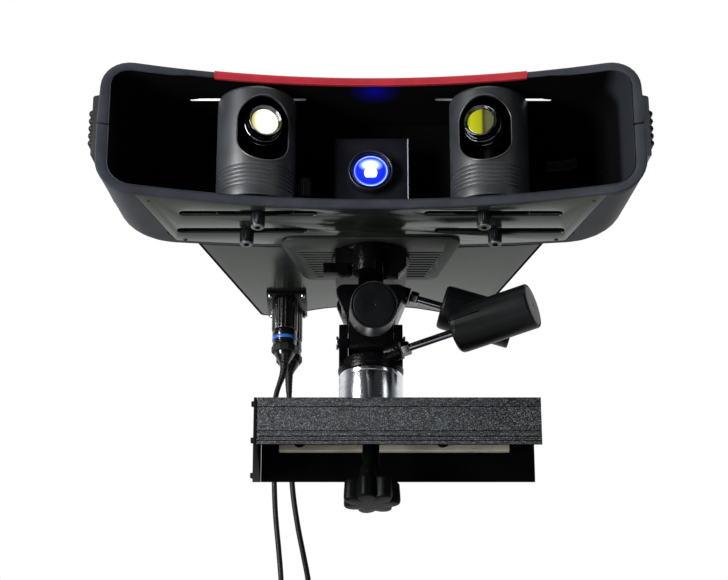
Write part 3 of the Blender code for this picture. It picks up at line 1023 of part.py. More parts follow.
def main():
    for obj in list(bpy.data.objects):
        bpy.data.objects.remove(obj, do_unlink=True)
    casings()
    red_top_panel()
    bottom_plate()
    side_grips()
    for side, word in ((-1, "left"), (1, "right")):
        camera_side(side, word)
    projector()
    rear_housing()
    vent_panel()
    electronics()
    connectors()
    cords()
    pan_base()
    cross_pin("tilt_pin", (0, AXIS_Y, TILT_Z), (1, 0, 0), POST_RADIUS, "bare_aluminium")
    tilt_body()
    platform()
    handle("pan", PAN_START, PAN_WAY, PAN_ROD_LONG)
    handle("tilt", TILT_START, TILT_WAY, TILT_ROD_LONG)
    handle("roll", ROLL_START, ROLL_WAY, ROLL_ROD_LONG, ROLL_GRIP_LONG)
    post_and_knob()
    rail_parts()


main()
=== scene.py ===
"""A structured-light scanner on a three-way head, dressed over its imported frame.

Metres, in the frame's own axes: +X to the right, +Y to the back, +Z up. deck() places a point from
the hood's front centre and its flat underside, head() from the post's axis and the same underside.
"""
import math

import bmesh
import bpy
import numpy as np
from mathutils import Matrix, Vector


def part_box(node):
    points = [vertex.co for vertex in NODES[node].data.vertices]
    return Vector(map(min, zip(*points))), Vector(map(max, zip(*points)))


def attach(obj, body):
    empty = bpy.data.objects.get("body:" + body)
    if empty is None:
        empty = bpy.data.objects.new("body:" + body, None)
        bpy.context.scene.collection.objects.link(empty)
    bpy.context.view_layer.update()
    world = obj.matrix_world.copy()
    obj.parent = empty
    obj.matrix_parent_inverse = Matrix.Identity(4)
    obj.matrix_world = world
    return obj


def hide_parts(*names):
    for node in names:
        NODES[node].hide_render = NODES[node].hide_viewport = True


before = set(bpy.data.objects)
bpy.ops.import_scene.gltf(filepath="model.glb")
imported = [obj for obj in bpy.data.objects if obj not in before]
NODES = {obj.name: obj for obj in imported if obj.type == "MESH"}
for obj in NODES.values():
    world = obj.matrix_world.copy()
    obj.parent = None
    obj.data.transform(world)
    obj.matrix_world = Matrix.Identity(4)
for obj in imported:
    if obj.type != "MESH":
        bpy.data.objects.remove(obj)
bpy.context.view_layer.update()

AXIS_Y, DECK_Z, FRONT_Y = -0.052, 0.1923, -0.156
RAIL_TOP, POST_LOW, BASE_LOW = 0.023, 0.0233, 0.0651
UP, DOWN = (0, 0, 1), (0, 0, -1)
SIDES = ((-1, "left"), (1, "right"))
TAU = 2 * math.pi

# The photograph's camera: its focal length and width in pixels, where it stands and how far it tips up
FOCAL_PX, PHOTO_WIDE = 2400, 728
VIEW_FROM, VIEW_TIP = (-0.0065, -2.1639, -0.807), 24.5

# The hood above the deck
HOOD_HALF, HOOD_TALL, HOOD_CORNER, HOOD_TAPER = 0.2555, 0.1384, 0.030, 0.018
HOOD_REAR_CORNER, REAR_CORNER_SHARE = 0.020, 0.82
HOOD_DEEP, FRONT_ARC, REAR_ARC = 0.086, 0.797, 1.526
CEILING, BAY_FLOOR, RIM_SIDE, RIM_CORNER, BACK_WALL = 0.1310, 0.0090, 0.0115, 0.020, 0.004
CORNER_DROP, CORNER_FROM, CORNER_RUN, LEAN = 0.0025, 0.172, 0.020, 0.0030
PARTING, PARTING_DEEP, PARTING_HALF = 0.0682, 0.0022, 0.0010
FIT, PARTING_FIT = 0.0003, 0.00015
PLATE_FRONT, PLATE_THICK = 0.0030, 0.0024
RED_HALF, RED_DEEP, RED_LOW, RED_HIGH, LIP_DEEP = 0.149, 0.066, 0.1337, 0.1390, 0.004
# Across the lip: the share of the way from the outer section to the inner one, and how far it stands out
LIP_FULL = 0.002
LIP_ROUND = ((0.02, -0.0006), (0.08, -0.0015), (0.2, -0.0019), (0.5, -0.002), (0.8, -0.0019),
             (0.92, -0.0015), (0.98, -0.0006))
# The deck's adjustment slots (x, back, half length) and its screws (place, x, back), on either side
DECK_SLOTS = ((0.115, 0.0117, 0.065), (0.1225, 0.0483, 0.062))
DECK_SCREWS = (("front", 0.207, -0.014), ("rear", 0.178, 0.069))
# The side pads' ribs: the middle one's height, their pitch, and how far they reach out and up
RIB_MIDDLE, RIB_PITCH, RIB_ROOT, RIB_OUT, RIB_HALF = 0.0735, 0.0078, 0.0084, 0.0047, 0.0030

# The camera turrets: axis, wall, grooves, window, lens and the studs of their clamps
TURRET_SIDE = {"left": -0.1097, "right": 0.1136}
TURRET_BACK, TURRET_RADIUS, TURRET_LOW, TURRET_HIGH = 0.030, 0.0378, 0.0113, 0.1275
TURRET_WALL, GROOVE_LOW, GROOVE_PITCH, GROOVES = 0.003, 0.0225, 0.0043, 6
WINDOW_TOE, LENS_TOE = {"left": 15.0, "right": 10.0}, 16.5
WINDOW_HALF, WINDOW_LOW, WINDOW_HIGH, LENS_RISE = 0.0252, 0.0468, 0.1168, 0.091
LENS_RADIUS, LENS_FRONT, LENS_SEAT = 0.0163, 0.036, 0.0315
FILTER_HALF = 0.0135
STUD_SIDE, STUD_STEP, STUD_BACK = 0.112, 0.006, 0.0183
PROJECTOR_RISE, PROJECTOR_FRONT, PROJECTOR_RADIUS = 0.0634, 0.0445, 0.0174

# The rear housing in plan: half widths in front and behind, its depth and the hollow in its rear edge
BODY_FRONT, BODY_REAR, BODY_CORNER, BODY_DEEP = 0.165, 0.1020, 0.1105, 0.2475
BODY_NOTCH, NOTCH_FLAT = 0.020, 0.030
BODY_TALL, BODY_WALL, SEAM_LOW, SEAM_HIGH = 0.100, 0.003, 0.0616, 0.0622


def deck(x, back, rise):
    return np.array([x, FRONT_Y + back, DECK_Z + rise])


def head(x, back, rise):
    return np.array([x, AXIS_Y + back, DECK_Z + rise])


# Camera


def make_camera():
    """The photograph's view: from the front and below, with a long lens."""
    data = bpy.data.cameras.new("view")
    data.sensor_width = 36
    data.lens = FOCAL_PX / PHOTO_WIDE * data.sensor_width
    data.clip_end = 60
    camera = bpy.data.objects.new("view", data)
    camera.location = VIEW_FROM
    camera.rotation_euler = (math.radians(90 + VIEW_TIP), 0, 0)
    bpy.context.scene.collection.objects.link(camera)
    bpy.context.scene.camera = camera


# Materials


def hex_colour(code):
    """An sRGB hex colour as linear red, green, blue and alpha."""
    parts = [int(code[i:i + 2], 16) / 255 for i in (1, 3, 5)]
    return (*(c / 12.92 if c <= 0.04045 else ((c + 0.055) / 1.055) ** 2.4 for c in parts), 1.0)


def add(tree, kind, sockets=(), **settings):
    """One shader node: settings are its own, sockets maps an input to a value or another node's output."""
    node = tree.nodes.new("ShaderNode" + kind)
    for name, value in settings.items():
        setattr(node, name, value)
    for name, value in dict(sockets).items():
        if isinstance(value, bpy.types.NodeSocket):
            tree.links.new(value, node.inputs[name])
        else:
            node.inputs[name].default_value = value
    return node


def ramp(tree, factor, *stops):
    """A colour ramp through (position, hex colour) stops."""
    node = add(tree, "ValToRGB", {"Fac": factor})
    elements = node.color_ramp.elements
    while len(elements) < len(stops):
        elements.new(0.5)
    for element, (position, code) in zip(elements, stops):
        element.position, element.color = position, hex_colour(code)
    return node.outputs["Color"]


def surface(name, roughness, metallic=0.0, **sockets):
    """A new material with its constants set on the Principled shader's own sockets."""
    made = bpy.data.materials.new(name)
    made.use_nodes = True
    shader = made.node_tree.nodes["Principled BSDF"]
    shader.inputs["Roughness"].default_value = roughness
    shader.inputs["Metallic"].default_value = metallic
    for key, value in sockets.items():
        shader.inputs[key.replace("_", " ")].default_value = value
    return made, made.node_tree, shader


def grained(name, dark, light, roughness, grain, depth, metallic=0.0, rough_swing=0.08, tone=0.02,
            stretch=(1, 1, 1), **sockets):
    """A surface whose relief has cells `grain` metres across and `depth` deep, with a slow change of tone.

    The relief also moves the roughness a little, as it does where a finish lies thinner on the peaks.
    """
    made, tree, shader = surface(name, roughness, metallic, **sockets)
    place = add(tree, "TexCoord").outputs["Object"]
    place = add(tree, "Mapping", {"Vector": place, "Scale": stretch}).outputs["Vector"]
    fine = add(tree, "TexNoise", {"Vector": place, "Scale": 1 / grain, "Detail": 2.0}).outputs["Fac"]
    slow = add(tree, "TexNoise", {"Vector": place, "Scale": 1 / tone, "Detail": 3.0}).outputs["Fac"]
    tree.links.new(ramp(tree, slow, (0.35, dark), (0.65, light)), shader.inputs["Base Color"])
    rough = add(tree, "MapRange", {"Value": fine, "From Min": 0.3, "From Max": 0.7,
                                   "To Min": roughness - rough_swing, "To Max": roughness + rough_swing})
    tree.links.new(rough.outputs["Result"], shader.inputs["Roughness"])
    bump = add(tree, "Bump", {"Height": fine, "Strength": 1.0, "Distance": depth})
    tree.links.new(bump.outputs["Normal"], shader.inputs["Normal"])
    return made


def hammered(name, pit, skin, peak, cell, depth):
    """Hammertone enamel: a film that puckers into cells, paler where it stands up and black in the pits."""
    made, tree, shader = surface(name, 0.42)
    place = add(tree, "TexCoord").outputs["Object"]
    cells = add(tree, "TexNoise", {"Vector": place, "Scale": 1 / cell, "Detail": 1.5,
                                   "Roughness": 0.6}).outputs["Fac"]
    tree.links.new(ramp(tree, cells, (0.40, pit), (0.53, skin), (0.66, peak)), shader.inputs["Base Color"])
    bump = add(tree, "Bump", {"Height": cells, "Strength": 1.0, "Distance": depth})
    tree.links.new(bump.outputs["Normal"], shader.inputs["Normal"])
    return made


def lens_glass(name, place, stops, across, glow):
    """A filter in its mount with painted light: its tint runs across the disc as painted glow and
    reflection, and it glows by emission.
    """
    made, tree, shader = surface(name, 0.12, Coat_Weight=0.6, Coat_Roughness=0.04, Emission_Strength=glow)
    where = add(tree, "TexCoord").outputs["Object"]
    local = add(tree, "VectorMath", {0: where, 1: tuple(place)}, operation="SUBTRACT").outputs[0]
    run = add(tree, "VectorMath", {0: local, 1: tuple(across)}, operation="DOT_PRODUCT").outputs["Value"]
    share = add(tree, "MapRange", {"Value": run, "From Min": -FILTER_HALF, "From Max": FILTER_HALF})
    tint = ramp(tree, share.outputs["Result"], *stops)
    tree.links.new(tint, shader.inputs["Base Color"])
    tree.links.new(tint, shader.inputs["Emission Color"])
    return made


def projector_light(name, place, radius, glow):
    """The lit blue lens: a bright rim line, a paler cap above and a white core with a flat foot."""
    made, tree, shader = surface(name, 0.1, Coat_Weight=0.8, Coat_Roughness=0.03, Emission_Strength=glow)
    where = add(tree, "TexCoord").outputs["Object"]
    local = add(tree, "VectorMath", {0: where, 1: tuple(place)}, operation="SUBTRACT").outputs[0]

    def spot(offset, half_wide, half_tall, corner="LENGTH"):
        """How far a point lies from a spot's middle, as a share of its reach: under 1 inside.

        LENGTH makes the spot an ellipse, MAXIMUM makes it a rectangle.
        """
        moved = add(tree, "VectorMath", {0: local, 1: offset}, operation="SUBTRACT").outputs[0]
        scaled = add(tree, "VectorMath", {0: moved, 1: (1 / half_wide, 0, 1 / half_tall)},
                     operation="MULTIPLY").outputs[0]
        if corner == "LENGTH":
            return add(tree, "VectorMath", {0: scaled}, operation="LENGTH").outputs["Value"]
        size = add(tree, "VectorMath", {0: scaled}, operation="ABSOLUTE").outputs[0]
        part = add(tree, "SeparateXYZ", {"Vector": size}).outputs
        return add(tree, "Math", {0: part["X"], 1: part["Z"]}, operation="MAXIMUM").outputs[0]

    body = ramp(tree, spot((0, 0, 0), radius, radius), (0.0, "#2a48f5"), (0.50, "#0f22e0"),
                (0.80, "#0a18b8"), (0.86, "#3c5cf8"), (0.90, "#9fb6ff"), (0.94, "#1c30d0"), (1.0, "#060c50"))
    cap = ramp(tree, spot((0, 0, radius * 0.34), radius * 0.72, radius * 0.44), (0.15, "#eef2ff"),
               (0.45, "#b4c4ff"), (0.78, "#5472ff"), (1.0, "#000000"))
    disc = spot((0, 0, -radius * 0.16), radius * 0.37, radius * 0.40)
    foot = spot((0, 0, radius * 0.02), radius * 0.60, radius * 0.47, "MAXIMUM")
    core = ramp(tree, add(tree, "Math", {0: disc, 1: foot}, operation="MAXIMUM").outputs[0],
                (0.88, "#ffffff"), (1.0, "#000000"))
    light = body
    for part in (cap, core):
        light = add(tree, "MixRGB", {"Fac": 1.0, "Color1": light, "Color2": part},
                    blend_type="LIGHTEN").outputs[0]
    tree.links.new(light, shader.inputs["Base Color"])
    tree.links.new(light, shader.inputs["Emission Color"])
    return made


def lit_ceiling(name, place, reach):
    """Near black as painted shade, with a painted pool of blue light from the lit lens that fades out, and a
    paler band of painted light by the right end's lip.
    """
    made, tree, shader = surface(name, 0.9, Specular_IOR_Level=0.04, Emission_Strength=1.0)
    where = add(tree, "TexCoord").outputs["Object"]
    local = add(tree, "VectorMath", {0: where, 1: tuple(place)}, operation="SUBTRACT").outputs[0]
    far = add(tree, "VectorMath", {0: local}, operation="LENGTH").outputs["Value"]
    share = add(tree, "Math", {0: far, 1: reach}, operation="DIVIDE").outputs[0]
    # Painted light: a blue pool from the lit lens, given as emission.
    tree.links.new(ramp(tree, share, (0.0, "#020274"), (0.5, "#01013a"), (1.0, "#000000")),
                   shader.inputs["Emission Color"])
    fine = add(tree, "TexNoise", {"Vector": where, "Scale": 1000.0, "Detail": 2.0}).outputs["Fac"]
    part = add(tree, "SeparateXYZ", {"Vector": where}).outputs
    # Painted light: a paler band where the right end's wall meets the lip.
    wall = add(tree, "MapRange", {"Value": part["X"], "From Min": 0.222, "From Max": 0.232})
    near = add(tree, "MapRange", {"Value": part["Y"], "From Min": -0.145, "From Max": -0.160})
    painted_light_band = add(tree, "Math", {0: wall.outputs["Result"], 1: near.outputs["Result"]},
               operation="MULTIPLY").outputs[0]
    black = ramp(tree, fine, (0.35, "#010102"), (0.65, "#030304"))
    tint = add(tree, "MixRGB", {"Fac": painted_light_band, "Color1": black, "Color2": hex_colour("#191b1f")}).outputs[0]
    tree.links.new(tint, shader.inputs["Base Color"])
    return made


def guide_light(name):
    """A guide strip in the ceiling with painted light: it glows by emission, white towards its outer end and
    painted darker towards the middle.
    """
    made, tree, shader = surface(name, 0.35, Emission_Strength=0.9)
    where = add(tree, "TexCoord").outputs["Object"]
    x = add(tree, "SeparateXYZ", {"Vector": where}).outputs["X"]
    out = add(tree, "Math", {0: x}, operation="ABSOLUTE").outputs[0]
    share = add(tree, "MapRange", {"Value": out, "From Min": 0.06, "From Max": 0.18}).outputs["Result"]
    tint = ramp(tree, share, (0.0, "#3a3a3c"), (0.25, "#77777a"), (0.62, "#f4f4f2"), (1.0, "#ffffff"))
    tree.links.new(tint, shader.inputs["Base Color"])
    tree.links.new(tint, shader.inputs["Emission Color"])
    return made


def make_finishes():
    f = {}
    # Moulded ABS with a spark-eroded skin: an even satin slate that lifts to grey at grazing light.
    f["casing"] = grained("spark_eroded_abs", "#212328", "#282b31", 0.50, 0.0009, 0.00012,
                          Specular_IOR_Level=0.13)
    # Near-black matt: painted shade inside the turrets and the rail's channel, a painted shadow line round
    # the rear housing's foot and dark carriages under the deck's slots; the strip's clips are black plastic.
    f["bay"] = grained("matt_black_and_painted_shade", "#010102", "#030304", 0.9, 0.0010, 0.00005, Specular_IOR_Level=0.04)
    # The same near black on the ceiling as painted shade, with a painted pool of blue light by the lit lens
    # and a painted paler band of light by the right lip.
    f["ceiling"] = lit_ceiling("ceiling_painted_shade_and_light", deck(0.004, 0.012, CEILING), 0.026)
    # The projector's housing: satin black with a blue cast from the coating.
    f["housing"] = grained("satin_black_housing", "#090a0f", "#0d0f16", 0.40, 0.0008, 0.00004,
                           Specular_IOR_Level=0.4)
    # The projector's focus ring: anodised a shade paler than its housing, so that it frames the lit lens.
    f["navy"] = grained("blue_black_anodising", "#141726", "#1b1e30", 0.34, 0.0006, 0.00003, metallic=0.3)
    # The housing's corner: a painted highlight, a thin line of light.
    f["corner"] = grained("painted_highlight_housing_corner", "#6f737c", "#858a94", 0.3, 0.0009, 0.00001)
    # Injection-moulded polycarbonate panel, red, satin with a soft clear sheen.
    f["red"] = grained("red_polycarbonate", "#7c101b", "#871621", 0.42, 0.0009, 0.00002)
    # Black gloss powder coat on steel sheet: it takes the pale backdrop as an even grey, seen from below.
    f["sheet"] = grained("black_powder_coat", "#121512", "#191c19", 0.2, 0.0018, 0.00002, rough_swing=0.04,
                         Specular_Tint=(0.86, 1.0, 0.88, 1.0))
    # Glass-filled nylon turrets: dark grey, fine even tooth, wide soft highlight.
    f["turret"] = grained("glass_filled_nylon", "#1a1c1f", "#222528", 0.42, 0.0009, 0.00006)
    # The vent panel's moulded nylon: matt, a little green-grey.
    f["vent"] = grained("moulded_vent_nylon", "#191c19", "#202320", 0.45, 0.0008, 0.00004,
                        Specular_IOR_Level=0.22, Specular_Tint=(0.86, 1.0, 0.88, 1.0))
    # Die-cast zinc under thick black enamel: lumpy skin that sparkles where it faces the light.
    f["casting"] = grained("black_enamelled_casting", "#020203", "#050506", 0.2, 0.0017, 0.00034,
                           rough_swing=0.1, Specular_IOR_Level=0.07)
    # Black anodised, turned aluminium: very dark with a metal's own highlight.
    f["anodised"] = grained("black_anodised_aluminium", "#0e0f11", "#151619", 0.3, 0.0005, 0.00002,
                            metallic=0.6)
    # The nuts' faced ends, where the turning tool left them grey.
    f["turned_end"] = grained("faced_aluminium_end", "#55575a", "#6a6c6f", 0.4, 0.0006, 0.00002,
                              metallic=0.8)
    # Black chrome on the lens rims: nearly a mirror, so that it takes thin bright arcs.
    f["rim"] = grained("black_chromed_rim", "#4a4a4f", "#5a5a60", 0.12, 0.0011, 0.00001, metallic=1.0,
                       rough_swing=0.03)
    # Natural rubber grips, moulded matt.
    f["rubber"] = grained("moulded_rubber", "#040506", "#080a0b", 0.38, 0.0009, 0.00008,
                          Specular_IOR_Level=0.10)
    # The right pad's plate, paler and glossier than the left pad's rubber: painted light, so that its front
    # end stands out grey.
    f["right_pad_painted_light"] = grained("right_pad_painted_light_grey", "#383b41", "#44484f", 0.28, 0.0009, 0.00002)
    # Phenolic star knob: harder than rubber, with a dull polish on its lobes.
    f["phenolic"] = grained("black_phenolic", "#020303", "#050606", 0.40, 0.0012, 0.00003,
                            Specular_IOR_Level=0.05)
    # Gloss black nylon of the connectors, with mould polish.
    f["nylon"] = grained("gloss_black_nylon", "#060607", "#0a0a0b", 0.16, 0.0012, 0.00002, rough_swing=0.04)
    # Soft PVC jacket of the cords.
    f["jacket"] = grained("black_pvc_jacket", "#040405", "#080808", 0.55, 0.0011, 0.00003,
                          Specular_IOR_Level=0.2)
    # Hammertone enamel on the rail: near black with a strong pale speckle of a millimetre or two.
    f["hammertone"] = hammered("black_hammertone", "#040505", "#0d0f11", "#5d6267", 0.00085, 0.00030)
    # Aluminium turned and polished, with faint lathe lines round the post.
    f["polished"] = grained("polished_aluminium", "#c2c6cc", "#dcdfe4", 0.16, 0.0009, 0.00001, metallic=1.0,
                            rough_swing=0.04, stretch=(1, 1, 30))
    # Black chromed steel rods: dark mirror with one bright line along each.
    f["chrome"] = grained("black_chromed_steel", "#5a5c60", "#6d6f73", 0.14, 0.0012, 0.00001, metallic=1.0,
                          rough_swing=0.04)
    # Bright zinc-plated nuts and screws.
    f["zinc"] = grained("zinc_plated_steel", "#9a9da1", "#b4b6b9", 0.24, 0.0010, 0.00003, metallic=1.0)
    # Milled aluminium, plain.
    f["milled"] = grained("milled_aluminium", "#8d9094", "#a3a6aa", 0.34, 0.0008, 0.00002, metallic=1.0,
                          stretch=(1, 8, 1))
    # Warm grey polypropylene strip with a waxy face.
    f["strip"] = grained("warm_grey_polypropylene", "#8f8c80", "#a8a598", 0.45, 0.0015, 0.00004)
    # Fibreglass circuit board under green solder resist.
    f["board"] = grained("green_solder_resist", "#0c3a22", "#11492b", 0.35, 0.0016, 0.00003)
    # Nylon locking ring of the connectors, dyed blue.
    f["blue_ring"] = grained("blue_nylon", "#0b4284", "#12559e", 0.35, 0.0009, 0.00003)
    # The rail's end cap: matt moulded nylon.
    f["end_cap"] = grained("matt_end_cap_nylon", "#030404", "#060707", 0.6, 0.0008, 0.00004,
                           Specular_IOR_Level=0.05)
    # Guide strips with painted light: a glow, white at their outer ends and darker towards the middle.
    f["guide"] = guide_light("guide_strip_painted_glow")
    return f


# Shapes as arrays


def quads(rows, columns, wrap_rows=False, wrap_columns=False):
    """Every cell of a grid of points numbered along its rows, as four corners."""
    r = np.arange(rows if wrap_rows else rows - 1)[:, None]
    c = np.arange(columns if wrap_columns else columns - 1)[None, :]
    here, right = r * columns + c, r * columns + (c + 1) % columns
    up = (r + 1) % rows * columns
    return np.stack([here, right, up + (c + 1) % columns, up + c], -1).reshape(-1, 4).tolist()


def capped(rows, columns):
    """The cells of a grid that closes on itself along its rows, with a face over each end."""
    ends = [list(range(columns))[::-1], list(range((rows - 1) * columns, rows * columns))]
    return quads(rows, columns, wrap_columns=True) + ends


def soft(points, radius, steps=3, closed=False):
    """A polyline with rounded corners: each corner becomes a parabola between two points along its sides."""
    p = np.asarray(points, float)
    reach = np.broadcast_to(np.asarray(radius, float), len(p)).copy()
    before, after = np.roll(p, 1, 0) - p, np.roll(p, -1, 0) - p
    far = np.linalg.norm(before, axis=1), np.linalg.norm(after, axis=1)
    reach = np.minimum(reach, 0.45 * np.minimum(*far))
    if not closed:
        reach[[0, -1]] = 0
    a = p + before * (reach / np.maximum(far[0], 1e-9))[:, None]
    b = p + after * (reach / np.maximum(far[1], 1e-9))[:, None]
    t = np.linspace(0, 1, steps + 1)[None, :, None]
    bent = ((1 - t) ** 2 * a[:, None] + 2 * t * (1 - t) * p[:, None] + t ** 2 * b[:, None])
    bent = bent.reshape(-1, p.shape[1])
    return bent[np.r_[True, np.linalg.norm(np.diff(bent, axis=0), axis=1) > 1e-8]]


def turned_shape(profile, steps=64, waves=0, closed=False):
    """A profile of (radius, height, ripple) carried round Z: radius + ripple times a wave of the angle.

    The wave is 2 sqrt(cos(waves a / 2)^2 + 0.01) - 1: broad lobes with narrow valleys between them.
    """
    p = np.array([(*row, 0)[:3] for row in np.asarray(profile, float).tolist()])
    a = np.arange(steps) * TAU / steps
    lobes = 2 * np.sqrt(np.cos(waves * a / 2) ** 2 + 0.01) - 1
    r = p[:, :1] + p[:, 2:3] * lobes
    grid = np.stack([r * np.cos(a), r * np.sin(a), np.broadcast_to(p[:, 1:2], r.shape)], -1)
    return grid.reshape(-1, 3), quads(len(p), steps, wrap_rows=closed, wrap_columns=True)


def slab_shape(outline, low, high, edge=0.0, steps=3):
    """A plate: its outline drawn in by edge (1 - sin a) and set off by edge (1 - cos a) at both rims."""
    p = np.asarray(outline, float)
    if np.sum(p[:, 0] * np.roll(p[:, 1], -1) - np.roll(p[:, 0], -1) * p[:, 1]) < 0:
        p = p[::-1]
    along = np.roll(p, -1, 0) - p
    along /= np.maximum(np.linalg.norm(along, axis=1, keepdims=True), 1e-9)
    out = np.stack([along[:, 1], -along[:, 0]], 1)
    mitre = out + np.roll(out, 1, 0)
    mitre /= np.maximum(np.sum(mitre * out, axis=1, keepdims=True), 0.35)
    a = np.linspace(0, math.pi / 2, steps + 1) if edge else np.array([math.pi / 2])
    drawn, off = edge * (1 - np.sin(a)), edge * (1 - np.cos(a))
    rings = [np.c_[p - mitre * d, np.full(len(p), low + z)] for d, z in zip(drawn, off)]
    rings += [np.c_[p - mitre * d, np.full(len(p), high - z)] for d, z in zip(drawn[::-1], off[::-1])]
    return np.concatenate(rings), capped(len(rings), len(p))


def carried_shape(profile, path, ups, closed=False):
    """A closed profile of (out, up) carried along a path: point = path + out * side + up * its up vector."""
    path, profile = np.asarray(path, float), np.asarray(profile, float)
    ups = np.broadcast_to(np.asarray(ups, float), path.shape)
    way = np.roll(path, -1, 0) - np.roll(path, 1, 0) if closed else np.gradient(path, axis=0)
    side = np.cross(way, ups)
    side /= np.linalg.norm(side, axis=1, keepdims=True)
    grid = path[:, None] + profile[None, :, :1] * side[:, None] + profile[None, :, 1:] * ups[:, None]
    size = len(path), len(profile)
    return grid.reshape(-1, 3), quads(*size, True, True) if closed else capped(*size)


def ring_profile(radius, steps=8):
    """A small circle as a closed profile."""
    a = np.arange(steps) * TAU / steps
    return np.stack([radius * np.cos(a), radius * np.sin(a)], 1)


def box_shape(low, high):
    """Eight corners and six faces."""
    low, high = np.minimum(low, high), np.maximum(low, high)
    pick = np.array([[i >> 2 & 1, i >> 1 & 1, i & 1] for i in range(8)])
    faces = [[0, 1, 3, 2], [4, 6, 7, 5], [0, 4, 5, 1], [2, 3, 7, 6], [0, 2, 6, 4], [1, 5, 7, 3]]
    return low + pick * (high - low), faces


def deck_slab(outline, low, high, edge=0.0, steps=3):
    """A slab whose heights count from the deck."""
    return slab_shape(outline, DECK_Z + low, DECK_Z + high, edge, steps)


def arc(cx, cy, radius, start, end, steps):
    """Points on a circle, angles in degrees."""
    a = np.radians(np.linspace(start, end, steps + 1))
    return np.stack([cx + radius * np.cos(a), cy + radius * np.sin(a)], 1)


def stadium(cx, cy, half_long, radius, steps=10):
    """A round-ended slot along X as a closed outline."""
    end = arc(half_long - radius, 0, radius, -90, 90, steps)
    return np.concatenate([end, -end]) + (cx, cy)


def facing(place, way=UP, up=UP):
    """The matrix that takes local Z to the way given, local Y near up, and the origin to the place."""
    z = np.asarray(way, float) / np.linalg.norm(way)
    up = np.asarray(up, float)
    if abs(z @ up) > 0.999:
        up = np.array([0.0, 1.0, 0.0])
    x = np.cross(up, z)
    x /= np.linalg.norm(x)
    return np.stack([x, np.cross(z, x), z], 1), np.asarray(place, float)


def placed(shape, where):
    """A shape turned and moved by what facing() gives."""
    turn, place = where
    return shape[0] @ turn.T + place, shape[1]


def joined(*shapes):
    """Several shapes as one."""
    faces, start = [], 0
    for points, each in shapes:
        faces += [[i + start for i in face] for face in each]
        start += len(points)
    return np.concatenate([points for points, _ in shapes]), faces


# Objects


def raw(name, shape):
    """A mesh object from arrays: its doubles merged and its faces turned out."""
    points, faces = shape
    mesh = bpy.data.meshes.new(name)
    mesh.from_pydata(np.asarray(points).tolist(), [], faces)
    work = bmesh.new()
    work.from_mesh(mesh)
    bmesh.ops.remove_doubles(work, verts=work.verts, dist=1e-6)
    bmesh.ops.recalc_face_normals(work, faces=work.faces)
    work.to_mesh(mesh)
    work.free()
    obj = bpy.data.objects.new(name, mesh)
    bpy.context.scene.collection.objects.link(obj)
    return obj


def applied(obj):
    """The object with its modifiers worked into its mesh."""
    graph = bpy.context.evaluated_depsgraph_get()
    mesh = bpy.data.meshes.new_from_object(obj.evaluated_get(graph))
    obj.modifiers.clear()
    old, obj.data = obj.data, mesh
    bpy.data.meshes.remove(old)
    return obj


def carved(obj, *shapes, how="DIFFERENCE"):
    """The object less (or with) the shapes given."""
    others = [raw("tool", shape) for shape in shapes]
    for other in others:
        step = obj.modifiers.new("carve", "BOOLEAN")
        step.operation, step.solver, step.object = how, "EXACT", other
    applied(obj)
    for other in others:
        bpy.data.objects.remove(other)
    return obj


def rounded(obj, width, segments=2, angle=40):
    """A bevel on every edge sharper than the angle."""
    step = obj.modifiers.new("edges", "BEVEL")
    step.width, step.segments, step.limit_method = width, segments, "ANGLE"
    step.angle_limit = math.radians(angle)
    return applied(obj)


def finish(obj, material, body, slot, *stands_for, crease=35):
    """Gives a piece its material, its body and the nodes that it stands for; the slot is not used."""
    mesh = obj.data
    mesh.materials.clear()
    for each in material if isinstance(material, (list, tuple)) else [material]:
        mesh.materials.append(each)
    mesh.polygons.foreach_set("use_smooth", np.ones(len(mesh.polygons), bool))
    mesh.set_sharp_from_angle(angle=math.radians(crease))
    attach(obj, body)
    if stands_for:
        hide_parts(*stands_for)
    return obj


def turned(name, rows, steps, where, *rest, waves=0, closed=False, crease=35):
    shape = placed(turned_shape(rows, steps, waves, closed), where)
    return finish(raw(name, shape), *rest, crease=crease)


def redrawn(node, material, body, slot, width=0.0006, segments=2, crease=35):
    """A node's own shape with its doubles merged, its flat faces joined and its edges rounded."""
    mesh = NODES[node].data.copy()
    work = bmesh.new()
    work.from_mesh(mesh)
    bmesh.ops.remove_doubles(work, verts=work.verts, dist=2e-6)
    bmesh.ops.dissolve_limit(work, angle_limit=math.radians(1.5), verts=work.verts, edges=work.edges)
    work.to_mesh(mesh)
    work.free()
    obj = bpy.data.objects.new(node + "_body", mesh)
    bpy.context.scene.collection.objects.link(obj)
    if width:
        rounded(obj, width, segments)
    return finish(obj, material, body, slot, node, crease=crease)


def sorted_faces(obj, chosen):
    """The faces whose middles and normals `chosen` picks take the object's second material."""
    mesh = obj.data
    c, n = np.empty(len(mesh.polygons) * 3), np.empty(len(mesh.polygons) * 3)
    mesh.polygons.foreach_get("center", c)
    mesh.polygons.foreach_get("normal", n)
    picked = chosen(c.reshape(-1, 3), n.reshape(-1, 3)).astype(np.int32)
    mesh.polygons.foreach_set("material_index", picked)


def screw_head(radius, tall, socket):
    """A domed screw head with a six-sided socket, its seat at height 0."""
    rise = np.linspace(0, math.pi / 2, 6)
    dome = [(radius * (1 - 0.25 * (1 - math.cos(a))), tall * math.sin(a)) for a in rise]
    head_rows = turned_shape(np.array([(0, 0), (radius * 0.98, 0), *dome, (socket * 1.1, tall)]), 24)
    hollow = turned_shape(np.array([(socket, tall), (socket * 0.98, tall * 0.35), (0, tall * 0.25)]), 6)
    lid = turned_shape(np.array([(socket * 1.1, tall), (socket * 1.02, tall)]), 24)
    return joined(head_rows, hollow, lid)


# Cords

CORD_DIAMETER = 0.0054
BOOT_LONG, BOOT_WIDE, BOOT_TAPER = 0.022, 0.0041, 0.0011
